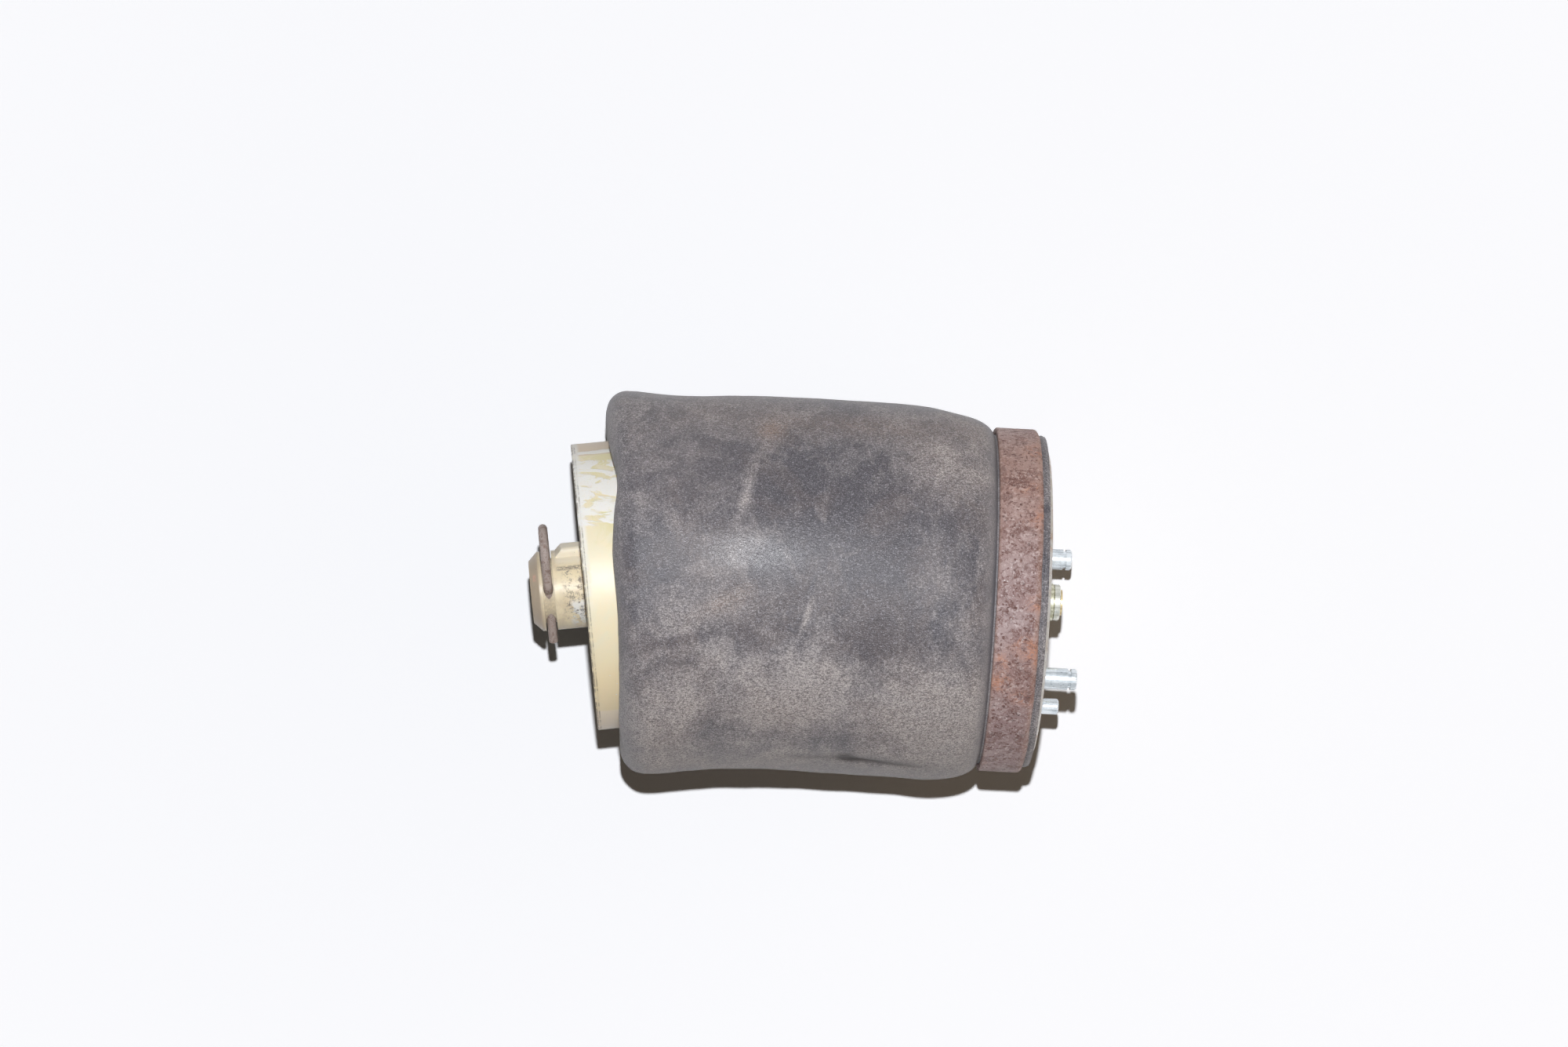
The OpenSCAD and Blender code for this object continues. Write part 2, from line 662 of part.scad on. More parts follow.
module bump_stop() {
    gap = 0.15;
    foot = neck_top + gap;
    tip = neck_top + bump_h;
    foot_r = bump_d / 2;
    tip_r = bump_tip_d / 2;
    waist_x = foot + (tip - foot) * 0.42;
    waist_w = 6;
    waist_depth = 3;
    edge = 3;
    foot_rise = 6;
    bore_r = 5;
    color("darkkhaki") in_piston() turned(concat(
        [[foot, knob_stem_r + gap], [foot, foot_r]],
        arc([foot + edge + foot_rise, foot_r - edge], edge, 90, 30, 3),
        [[waist_x - waist_w / 2, tip_r + waist_depth]],
        arc([waist_x, tip_r + waist_depth], waist_w / 2, 180, 360, 6),
        arc([tip - edge, tip_r - edge], edge, 90, 0, 4),
        [[tip, bore_r], [neck_top + knob_h + gap, bore_r],
         [neck_top + knob_h + gap, knob_d / 2 - knob_head_t + gap],
         [neck_top + knob_h - knob_head_t, knob_d / 2 + gap],
         [neck_top + knob_h - 2 * knob_head_t, knob_stem_r + gap]]));
}

module retaining_clip() {
    color("rosybrown") in_piston() rotate([clip_angle, 0, 0]) translate([groove_x, 0, 0]) {
        for (side = [-1, 1])
            translate([0, -leg_past, side * leg_gap / 2])
                rotate([-90, 0, 0]) cylinder(h = leg_past + bend_out, r = wire_r, $fn = 32);
        translate([0, bend_out, 0]) rotate([0, -90, 0])
            rotate_extrude(angle = 180) translate([leg_gap / 2, 0]) circle(r = wire_r, $fn = 32);
    }
}

top_plate();
upper_crimp_ring();
bellows();
locating_stud_a();
locating_stud_b();
index_pin();
weld_boss();
connector_body();
connector_seal_ring();
collet_collar();
collet();
air_line_seal();
valve_poppet();
valve_spring();
valve_retainer();
piston_shell();
piston_base();
locating_nose();
lower_clamp_ring();
bump_stop();
retaining_clip();
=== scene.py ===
import math

import bpy
import numpy as np
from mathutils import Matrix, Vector, noise


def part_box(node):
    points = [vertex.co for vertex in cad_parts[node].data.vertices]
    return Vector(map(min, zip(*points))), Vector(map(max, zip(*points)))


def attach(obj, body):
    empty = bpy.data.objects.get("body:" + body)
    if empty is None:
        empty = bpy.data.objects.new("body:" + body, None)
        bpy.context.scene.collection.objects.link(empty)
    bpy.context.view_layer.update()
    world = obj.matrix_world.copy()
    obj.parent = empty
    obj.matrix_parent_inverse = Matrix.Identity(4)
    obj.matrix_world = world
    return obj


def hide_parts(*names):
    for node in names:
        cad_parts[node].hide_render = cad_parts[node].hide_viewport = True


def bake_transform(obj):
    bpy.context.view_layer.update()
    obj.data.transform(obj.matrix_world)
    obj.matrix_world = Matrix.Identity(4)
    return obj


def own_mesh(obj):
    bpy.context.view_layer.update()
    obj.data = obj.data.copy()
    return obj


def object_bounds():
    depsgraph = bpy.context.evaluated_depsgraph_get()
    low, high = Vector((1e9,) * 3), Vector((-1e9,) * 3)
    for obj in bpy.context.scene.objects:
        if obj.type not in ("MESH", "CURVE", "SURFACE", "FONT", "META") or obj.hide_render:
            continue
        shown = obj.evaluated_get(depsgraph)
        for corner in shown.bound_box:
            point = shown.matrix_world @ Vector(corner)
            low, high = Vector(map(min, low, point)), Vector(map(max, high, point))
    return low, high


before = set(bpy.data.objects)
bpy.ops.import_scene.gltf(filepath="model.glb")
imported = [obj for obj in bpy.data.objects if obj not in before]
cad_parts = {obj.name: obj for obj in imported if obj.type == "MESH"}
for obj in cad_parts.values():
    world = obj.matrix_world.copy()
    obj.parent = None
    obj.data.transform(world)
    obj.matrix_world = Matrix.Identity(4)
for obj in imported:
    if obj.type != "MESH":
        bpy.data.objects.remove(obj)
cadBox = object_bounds()
mm = 0.001
print("frame loaded, nodes:", len(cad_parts))


def addObject(name, data):
    thing = bpy.data.objects.new(name, data)
    bpy.context.scene.collection.objects.link(thing)
    return thing


# Camera and lamp, with the table's and backdrop's values

studio = {
    "cameraPlace": (-0.0976, 0.0244, 1.26),
    "cameraRoll": 3.0,                  # degrees
    "lens": 50.0,
    "sensor": 23.5,
    "keyColour": (0.985, 0.995, 1.02),
    "keyLevel": 0.9,                    # what a white surface facing the key lamp sends back
    "keyPlace": (-0.1, 0.15, 1.26),
    "keyWidth": 0.02,
    "ceiling": (0.02, 0.018, 0.017),
    "darkWalls": (0.07, 0.066, 0.066),  # towards -X
    "warmWalls": (1.35, 1.02, 0.66),    # towards +X
    "wallHeight": 0.42,                 # sine of the height over the horizon where the walls end
    "backdrop": (0.95, 0.96, 0.985),
    "tableColour": (0.88, 0.885, 0.895),
    "tableDeep": (0.09, 0.13, 0.17),    # after two bounces, so that the part's shadow stays deep
    "tableSeen": (1.1, 1.11, 1.13),
    "tableEvened": 2.2,                 # the most that the seen table makes up for the lamp's fall-off
    "tableFar": (0.36, 0.8),            # shares of the lamp's height: the seen table turns into the backdrop
    "tableSize": 8.0,
}

camera = addObject("camera", bpy.data.cameras.new("camera"))
camera.location = studio["cameraPlace"]
camera.rotation_euler = (0, 0, math.radians(studio["cameraRoll"]))
camera.data.lens = studio["lens"]
camera.data.sensor_width = studio["sensor"]
camera.data.clip_start = 0.01
bpy.context.scene.camera = camera
bpy.context.scene.view_settings.view_transform = "Standard"

keyLamp = addObject("keyLamp", bpy.data.lights.new("keyLamp", "AREA"))
keyLamp.data.shape = "DISK"
keyLamp.data.size = studio["keyWidth"]
keyLamp.data.energy = studio["keyLevel"] * (math.pi * studio["keyPlace"][2]) ** 2
keyLamp.data.color = studio["keyColour"]
keyLamp.location = studio["keyPlace"]


# Shader nodes: a Sketch, called s where it is used, adds them to one tree, and a Finish is the Sketch
# of a new material

class Sketch:
    def __init__(self, tree):
        self.tree = tree

    def fill(self, socket, value):
        if isinstance(value, bpy.types.NodeSocket):
            self.tree.links.new(value, socket)
        else:
            socket.default_value = (*value, 1.0) if socket.type == "RGBA" else value

    def node(self, kind, sockets=None, **settings):
        node = self.tree.nodes.new("ShaderNode" + kind)
        for name, value in settings.items():
            setattr(node, name, value)
        for name, value in (sockets or {}).items():
            self.fill(node.inputs[name], value)
        return node

    def use(self, group, place, *values, **named):      # a shared effect, values in its inputs' order
        sockets = {**dict(enumerate((place, *values))), **named}
        outputs = self.node("Group", sockets, node_tree=group).outputs
        return outputs if len(outputs) > 1 else outputs[0]

    def maths(self, operation, *values, clamp=False):
        return self.node("Math", dict(enumerate(values)), operation=operation, use_clamp=clamp).outputs[0]

    def chain(self, operation, first, *others):
        for other in others:
            first = self.maths(operation, first, other)
        return first

    def plus(self, *values):
        return self.chain("ADD", *values)

    def minus(self, a, b):
        return self.maths("SUBTRACT", a, b)

    def times(self, *values):
        return self.chain("MULTIPLY", *values)

    def most(self, *values):
        return self.chain("MAXIMUM", *values)

    def sumOf(self, *pairs):            # of values, each with its weight
        return self.plus(*(self.times(*pair) for pair in pairs))

    def mostOf(self, *pairs):
        return self.most(*(self.times(*pair) for pair in pairs))

    def mixValues(self, factor, a, b):
        return self.node("Mix", {0: factor, 2: a, 3: b}, data_type="FLOAT").outputs[0]

    def mixColours(self, factor, a, b):
        return self.node("Mix", {0: factor, 6: a, 7: b}, data_type="RGBA").outputs[2]

    def layers(self, colour, *coats):   # coats of mask and colour, each over the ones before
        for mask, coat in coats:
            colour = self.mixColours(mask, colour, coat)
        return colour

    def rise(self, value, low, high):   # 0 up to low, 1 from high on, smooth between
        sockets = {"Value": value, "From Min": low, "From Max": high}
        return self.node("MapRange", sockets, interpolation_type="SMOOTHSTEP").outputs[0]

    def within(self, value, low, high, soft):    # 1 between low and high
        start = self.rise(value, low - soft, low + soft)
        return self.times(start, self.rise(value, high + soft, high - soft))

    def farFrom(self, value, middle):
        return self.maths("ABSOLUTE", self.minus(value, middle))

    def vectorMaths(self, operation, *vectors):
        outputs = self.node("VectorMath", dict(enumerate(vectors)), operation=operation).outputs
        return outputs["Value" if operation in ("LENGTH", "DISTANCE", "DOT_PRODUCT") else "Vector"]

    def stretched(self, place, factors):    # squeezes a pattern's place, so its spots grow along an axis
        return self.vectorMaths("MULTIPLY", place, factors)

    def scaled(self, vector, factor):
        return self.node("VectorMath", {0: vector, 3: factor}, operation="SCALE").outputs[0]

    def placeOnPart(self):              # in mm, carried by the part
        return self.scaled(self.node("TexCoord").outputs["Object"], 1000.0)

    def placeAtRest(self):              # in mm, for pieces that bend
        return self.scaled(self.node("Attribute", attribute_name="restCo").outputs[1], 1000.0)

    def attribute(self, name):
        return self.node("Attribute", attribute_name=name).outputs[2]

    def perMm(self, size):              # a texture's scale from the size of its spots
        return self.maths("DIVIDE", 1.0, size) if isinstance(size, bpy.types.NodeSocket) else 1.0 / size

    def noiseOf(self, place, size, detail=2.0, roughness=0.5, distortion=0.0):
        sockets = {"Vector": place, "Scale": self.perMm(size), "Detail": detail,
                   "Roughness": roughness, "Distortion": distortion}
        return self.node("TexNoise", sockets).outputs[0]

    def cellsOf(self, place, size, feature="F1"):
        return self.node("TexVoronoi", {"Vector": place, "Scale": self.perMm(size)}, feature=feature).outputs

    def warped(self, place, scale, detail, reach):      # the place, shifted by up to the reach in mm
        warp = self.node("TexNoise", {"Vector": place, "Scale": scale, "Detail": detail}).outputs[1]
        return self.vectorMaths("ADD", self.scaled(warp, reach), place)

    def lotOf(self, cells):             # each cell's own random number
        return self.node("SeparateColor", {0: cells[1]}).outputs[0]


class Finish(Sketch):
    def __init__(self, name, fixed=None):
        self.material = bpy.data.materials.new(name)
        self.material.use_nodes = True
        super().__init__(self.material.node_tree)
        for label, value in (fixed or {}).items():
            self.put(label, value)

    def put(self, label, value):
        self.fill(self.tree.nodes["Principled BSDF"].inputs[label], value)

    def done(self, colour, roughness, height, depth):   # depth is in mm
        self.put("Base Color", colour)
        self.put("Roughness", roughness)
        self.put("Normal", self.node("Bump", {"Height": height, "Distance": depth * mm}).outputs[0])
        return self.material


def newGroup(name, **inputs):           # the place, and inputs with their usual values
    tree = bpy.data.node_groups.new(name, "ShaderNodeTree")
    tree.interface.new_socket("place", in_out="INPUT", socket_type="NodeSocketVector")
    for label, value in inputs.items():
        isColour = isinstance(value, tuple)
        kind = "NodeSocketColor" if isColour else "NodeSocketFloat"
        socket = tree.interface.new_socket(label, in_out="INPUT", socket_type=kind)
        socket.default_value = (*value, 1.0) if isColour else value
    return Sketch(tree), tree.nodes.new("NodeGroupInput").outputs


def closeGroup(sketch, **outputs):
    for label, value in outputs.items():
        kind = "NodeSocketColor" if value.type == "RGBA" else "NodeSocketFloat"
        sketch.tree.interface.new_socket(label, in_out="OUTPUT", socket_type=kind)
    end = sketch.tree.nodes.new("NodeGroupOutput")
    for label, value in outputs.items():
        sketch.fill(end.inputs[label], value)
    return sketch.tree


# Effects that several finishes share

def makeGrain():                        # leathery skin: small cells and short fibres
    s, given = newGroup("grain", cellSize=0.6, fibreLength=2.0, density=0.4)
    size = given["cellSize"]
    moved = s.warped(given["place"], 0.7, 2.0, 1.0)
    longer = s.stretched(moved, (0.55, 1.0, 1.0))
    dome = s.minus(1.0, s.cellsOf(longer, size)[0])
    fine = s.noiseOf(moved, s.times(size, 0.8), 3.0, 0.65)
    fibre = s.noiseOf(longer, s.times(size, given["fibreLength"]), 4.0, 0.7)
    height = s.sumOf((dome, 0.55), (fine, 0.6), (fibre, 0.35))
    speck = s.noiseOf(moved, s.times(size, 0.7), 1.0, 0.5)
    hairs = s.noiseOf(s.stretched(moved, (0.6, 1.0, 0.8)), s.times(size, 1.3), 3.0, 0.7)
    level = s.minus(0.64, s.times(given["density"], 0.26))
    fleck = s.rise(s.sumOf((speck, 0.6), (hairs, 0.4)), s.minus(level, 0.07), s.plus(level, 0.08))
    return closeGroup(s, height=height, fleck=fleck, pore=s.rise(height, 0.78, 0.62))


def makeDust():                         # film of road dust in drifting patches
    s, given = newGroup("dust", patchSize=14.0, amount=0.5, softness=0.16)
    cloud = s.noiseOf(given["place"], given["patchSize"], 6.0, 0.62, 0.7)
    level = s.minus(1.0, given["amount"])
    low, high = s.minus(level, given["softness"]), s.plus(level, given["softness"])
    return closeGroup(s, mask=s.rise(s.rise(cloud, 0.28, 0.72), low, high))


def makeRust():                         # granular rust with pits, dark scabs and orange bloom
    s, given = newGroup("rust", skin=(0.3, 0.2, 0.18), scab=(0.12, 0.05, 0.04), bloom=(0.5, 0.2, 0.08),
                        pale=(0.52, 0.4, 0.38), grainSize=0.5, contrast=0.6, scabAmount=0.4, bloomAmount=0.2)
    place, size, contrast = given["place"], given["grainSize"], given["contrast"]
    moved = s.warped(place, 0.9, 3.0, 1.4)
    tone = s.lotOf(s.cellsOf(moved, size))
    fine = s.noiseOf(place, s.times(size, 1.6), 4.0, 0.7)
    patches = s.noiseOf(moved, s.times(size, 7.0), 4.0, 0.62)
    wide = s.noiseOf(place, s.times(size, 26.0), 2.0, 0.5)
    drift = s.noiseOf(moved, s.times(size, 9.5), 4.0, 0.7)
    lightGrain = s.times(s.rise(tone, 0.62, 1.0), s.rise(patches, 0.34, 0.58))
    darkGrain = s.times(s.rise(tone, 0.42, 0.05), s.rise(fine, 0.6, 0.42))
    scab = s.times(s.rise(s.plus(patches, s.times(fine, 0.22)), 0.64, 0.76), given["scabAmount"])
    holes = s.cellsOf(moved, s.times(size, 3.4))[0]
    pit = s.times(s.rise(holes, 0.26, 0.1), s.rise(patches, 0.46, 0.56))
    dark = s.most(scab, s.times(pit, 0.75))
    colour = s.layers(given["skin"], (s.rise(wide, 0.38, 0.62), given["pale"]), (0.62, given["skin"]),
                      (s.times(lightGrain, contrast), given["pale"]),
                      (s.times(darkGrain, contrast), given["scab"]), (dark, given["scab"]),
                      (s.times(s.rise(drift, 0.6, 0.7), given["bloomAmount"]), given["bloom"]))
    height = s.minus(s.times(fine, 0.7), s.times(pit, 0.8))
    height = s.plus(height, s.times(tone, 0.25), s.times(scab, 0.3))
    return closeGroup(s, colour=colour, height=height, dark=dark)


def makeSpecks():                       # scattered dots, a few of many cells filled
    s, given = newGroup("specks", spacing=3.0, size=0.25, share=0.3)
    cells = s.cellsOf(given["place"], given["spacing"])
    radius = s.maths("DIVIDE", given["size"], given["spacing"])
    dot = s.rise(cells[0], radius, s.times(radius, 0.6))
    return closeGroup(s, mask=s.times(dot, s.maths("LESS_THAN", s.lotOf(cells), given["share"])))


def makeScratches():                    # thin stray lines
    s, given = newGroup("scratches", spacing=6.0, width=0.06, amount=0.5)
    moved = s.warped(given["place"], 0.03, 1.0, 12.0)
    edges = s.cellsOf(s.stretched(moved, (1.0, 0.35, 0.6)), given["spacing"], "DISTANCE_TO_EDGE")[0]
    width = s.maths("DIVIDE", given["width"], given["spacing"])
    line = s.rise(edges, width, s.times(width, 0.3))
    broken = s.rise(s.noiseOf(given["place"], 5.0, 2.0, 0.6), 0.54, 0.66)
    return closeGroup(s, mask=s.times(line, broken, given["amount"]))


grain = makeGrain()
dust = makeDust()
rust = makeRust()
specks = makeSpecks()
scratches = makeScratches()
print("shared effects made")


# Finishes

rubberLook = {
    "clean": (0.084, 0.08, 0.092),
    "cleanFleck": (0.345, 0.33, 0.365),
    "dusty": (0.318, 0.293, 0.295),
    "dustyFleck": (0.63, 0.585, 0.57),
    "brown": (0.25, 0.18, 0.145),
    "pore": (0.04, 0.036, 0.038),
    "calm": (0.212, 0.206, 0.221),
    # painted shade: a dark colour laid along the folds of the low side
    "paintedCreaseShade": (0.05, 0.042, 0.04),
    "cellSize": 0.5,
    "grainDepth": 0.16,
    "drift": (0.0, 0.0, -0.35),         # turns the dust's streaks, in radians
}


def makeRubber():
    look = rubberLook
    s = Finish("dustyRubber", {"Sheen Weight": 0.03, "Sheen Roughness": 0.4})
    place = s.placeAtRest()
    sockets = {"Vector": place, "Rotation": look["drift"], "Scale": (1.0, 0.5, 0.7)}
    streaky = s.node("Mapping", sockets).outputs[0]
    film = s.use(dust, streaky, 20.0, 0.5, 0.24)
    mottle = s.use(dust, streaky, 6.5, 0.5, 0.4)
    blotch = s.use(dust, place, 10.0, 0.42, 0.13)
    earth = s.use(dust, place, 30.0, 0.4, 0.3)
    lines = s.use(scratches, streaky, 15.0, 0.25, 0.12)
    wiped = s.rise(s.noiseOf(s.stretched(streaky, (1.0, 0.3, 0.5)), 1.6, 5.0, 0.72, 0.4), 0.5, 0.72)
    dusty = s.sumOf((film, 0.3), (mottle, 0.13), (wiped, 0.24), (blotch, 0.22))
    dusty = s.maths("ADD", dusty, s.attribute("dusty"), clamp=True)
    brown = s.maths("ADD", s.times(earth, 0.18), s.attribute("brown"), clamp=True)
    gloss = s.attribute("gloss")
    calm = s.attribute("calm")          # rubber without grain, beside the crimp ring and at the edges
    grainy = s.minus(1.0, s.times(calm, 0.85))
    skin = s.use(grain, place, look["cellSize"], 2.4, s.mixValues(dusty, 0.3, 0.56))
    colour = s.layers(look["clean"], (dusty, look["dusty"]), (brown, look["brown"]), (calm, look["calm"]),
                      (s.times(skin["fleck"], s.times(grainy, 0.8)),
                       s.mixColours(dusty, look["cleanFleck"], look["dustyFleck"])),
                      (s.times(skin["pore"], s.times(grainy, 0.5)), look["pore"]),
                      # the last coat is painted shade along the folds
                      (lines, look["dustyFleck"]), (s.attribute("paintedCreaseShade"), look["paintedCreaseShade"]))
    s.put("Specular IOR Level", s.mixValues(gloss, 0.42, 0.6))
    roughness = s.mixValues(gloss, s.mixValues(dusty, 0.45, 0.7), 0.34)
    roughness = s.mixValues(calm, roughness, 0.6)
    height = s.times(skin["height"], s.mixValues(calm, 1.0, 0.2))
    return s.done(colour, roughness, s.minus(height, s.times(lines, 0.8)), look["grainDepth"])


def makeRingRust():
    s = Finish("rustyBand")
    place = s.placeAtRest()
    warm, orange = s.attribute("warm"), s.attribute("orange")
    skin = s.mixColours(warm, (0.35, 0.24, 0.235), (0.36, 0.215, 0.18))
    pale = s.mixColours(warm, (0.66, 0.55, 0.55), (0.58, 0.42, 0.38))
    scale = s.use(rust, place, skin=skin, scab=(0.13, 0.055, 0.045), bloom=(0.68, 0.31, 0.16), pale=pale,
                  grainSize=0.85, contrast=1.0, scabAmount=0.6, bloomAmount=s.mixValues(orange, 0.14, 0.75))
    crumbs = s.noiseOf(place, 0.62, 3.0, 0.75)
    blobs = s.noiseOf(place, 4.6, 2.0, 0.5, 0.8)
    shaded = s.times(s.rise(blobs, 0.53, 0.62), s.rise(crumbs, 0.62, 0.42))
    worn = s.times(s.attribute("edge"), s.noiseOf(place, 1.6, 3.0, 0.6))
    fresh = s.times(orange, s.rise(crumbs, 0.36, 0.56), s.rise(blobs, 0.6, 0.42))
    # painted glints: near-white specks that stand in for the lamp's highlight, with lower roughness there
    paintedGlint = s.times(s.use(specks, place, 1.1, 0.3, 0.1), s.attribute("paintedGlint"))
    colour = s.layers(scale["colour"],
                      (s.times(shaded, 0.75), (0.17, 0.075, 0.06)),
                      (s.times(s.rise(crumbs, 0.54, 0.66), 0.65), pale),
                      (s.times(worn, 0.6), (0.46, 0.29, 0.23)),
                      (s.times(fresh, 0.75), (0.6, 0.27, 0.16)),
                      (paintedGlint, (0.86, 0.8, 0.8)))
    height = s.plus(scale["height"], s.times(crumbs, 0.6))
    return s.done(colour, s.mixValues(paintedGlint, 0.62, 0.3), height, 0.5)


def makeWireRust():
    s = Finish("rustyWire", {"Specular IOR Level": 0.45})
    scale = s.use(rust, s.placeAtRest(), skin=(0.42, 0.335, 0.295), scab=(0.17, 0.085, 0.06),
                  bloom=(0.46, 0.25, 0.17), pale=(0.5, 0.43, 0.4), grainSize=0.35, contrast=0.6,
                  scabAmount=0.45, bloomAmount=0.6)
    return s.done(scale["colour"], s.mixValues(scale["dark"], 0.6, 0.8), scale["height"], 0.2)


def makePlateSteel():
    s = Finish("dullSteel")
    place = s.placeOnPart()
    dirt = s.use(dust, place, 9.0, 0.45, 0.3)
    stain = s.use(dust, place, 8.0, 0.3, 0.2)
    scale = s.use(rust, place, skin=(0.42, 0.27, 0.19), scab=(0.16, 0.08, 0.06), bloom=(0.58, 0.3, 0.16),
                  pale=(0.5, 0.42, 0.36), grainSize=0.4, contrast=0.7, scabAmount=0.5, bloomAmount=0.6)
    fromAxis = s.vectorMaths("LENGTH", s.stretched(place, (0.0, 1.0, 1.0)))
    rusty = s.times(stain, s.mixValues(s.rise(fromAxis, 30.0, 66.0), 0.12, 0.8))
    lines = s.use(scratches, place, 9.0, 0.12, 0.6)
    flecks = s.use(specks, place, 0.9, 0.3, 0.35)
    colour = s.layers((0.58, 0.565, 0.54), (dirt, (0.52, 0.495, 0.45)),
                      (s.times(flecks, 0.6), (0.2, 0.19, 0.17)), (lines, (0.66, 0.66, 0.65)),
                      (rusty, scale["colour"]))
    s.put("Metallic", s.mixValues(s.most(rusty, s.times(dirt, 0.6)), 0.8, 0.2))
    return s.done(colour, s.mixValues(dirt, 0.36, 0.62), scale["height"], 0.1)


def makeMetal(name, pale, tinge, stain, roughness):
    s = Finish(name, {"Metallic": 0.9})
    place = s.placeOnPart()
    cloud = s.use(dust, place, 4.0, 0.4, 0.3)
    # streaks along the part in the stain colour: grime, and painted reflection of the dark bands along round
    # flanks
    streak = s.use(dust, s.stretched(place, (0.1, 1.0, 1.0)), 1.6, 0.46, 0.2)
    flecks = s.use(specks, s.stretched(place, (0.5, 1.0, 1.0)), 0.45, 0.22, 0.12)
    grimeAndReflectionStreaks = s.times(streak, s.mixValues(flecks, 0.5, 0.95))
    colour = s.layers(pale, (cloud, tinge), (grimeAndReflectionStreaks, stain))
    rough = s.mixValues(grimeAndReflectionStreaks, roughness, roughness + 0.2)
    return s.done(colour, rough, s.noiseOf(place, 0.35, 3.0, 0.6), 0.03)


def makeSealRubber():
    s = Finish("sealRubber")
    place = s.placeOnPart()
    film = s.use(dust, place, 2.0, 0.3, 0.3)
    colour = s.mixColours(film, (0.018, 0.018, 0.019), (0.05, 0.048, 0.045))
    return s.done(colour, s.mixValues(film, 0.35, 0.6), s.noiseOf(place, 0.3), 0.02)


def makeFoam():
    s = Finish("stopFoam")
    place = s.placeOnPart()
    film = s.use(dust, place, 12.0, 0.4, 0.3)
    colour = s.mixColours(film, (0.6, 0.5, 0.27), (0.46, 0.36, 0.2))
    return s.done(colour, s.mixValues(film, 0.7, 0.85), s.cellsOf(place, 0.8)[0], 0.12)


# Piston: its nylon finishes are laid out in its own frame

piston = {
    "tiltBack": 138 * mm,               # from the mounting face to the point it tilts about
    "tiltShift": 1.5 * mm,
    "tiltSide": math.radians(8.5),
    "tiltUp": math.radians(3.5),
    "skirtOut": 34 * mm,                # from that point to the end face
    "skirtRadius": 54 * mm,
    "rim": 1.2 * mm,                    # seam between shell and base
}


def pistonToRow(points):                # from the piston's own frame, nose towards -X
    x, y, z = points.T
    up, side = piston["tiltUp"], piston["tiltSide"]
    x, z = x * math.cos(up) + z * math.sin(up), z * math.cos(up) - x * math.sin(up)
    x, y = x * math.cos(side) - y * math.sin(side), x * math.sin(side) + y * math.cos(side)
    return np.stack([x - piston["tiltBack"], y + piston["tiltShift"], z], 1)


def pistonPlace(s):                     # mm inwards from the end face, towards the side and up
    middle, *ends = pistonToRow(np.vstack([np.zeros(3), np.eye(3)]))
    endFace = pistonToRow(np.array([(-piston["skirtOut"], 0.0, 0.0)]))[0]
    place = s.placeOnPart()
    inwards = s.vectorMaths("SUBTRACT", place, tuple(endFace / mm))
    return place, *(s.vectorMaths("DOT_PRODUCT", inwards, tuple(end - middle)) for end in ends)


nylon = {"Subsurface Radius": (1.0, 0.7, 0.4)}
skirtLook = {
    "ivory": (0.9, 0.82, 0.6),
    # mostly on the low side: partly the nylon's yellowing, partly painted light that brightens and yellows
    # that side
    "shade": (1.0, 0.81, 0.51),
    "patch": (0.84, 0.76, 0.46),
    "salt": (0.98, 0.955, 0.89),
    "edgeSkin": (0.74, 0.6, 0.44),      # duller skin along the top edge
    # bottom band: partly its own skin, partly painted light that brightens it
    "lowBandSkinAndLight": (1.0, 0.83, 0.62),
    "grime": (0.16, 0.13, 0.11),
    "saltFrom": 19.0,                   # mm towards +Y, where the salt thins out
    "saltTo": 47.5,
    "streakAt": 50.3,
    "edgeTop": 48.5,
    "edgeLow": -46.0,
    "skirtFrom": (2600.0, 2750.0),      # squared mm from the axis, as are the rim's
    "rimFrom": (2820.0, 2890.0),
}
noseLook = {
    "ivory": (0.86, 0.74, 0.51),
    "shade": (0.74, 0.62, 0.43),
    "tip": (0.39, 0.3, 0.22),
    # partly the key's own paler tint, partly a painted highlight on its top
    "keyTintAndHighlight": (0.9, 0.83, 0.7),
    "salt": (0.86, 0.84, 0.78),
    "grime": (0.15, 0.13, 0.125),
    "pink": (0.75, 0.4, 0.3),
    "keyRoot": 7.9,                     # mm towards +Y
}


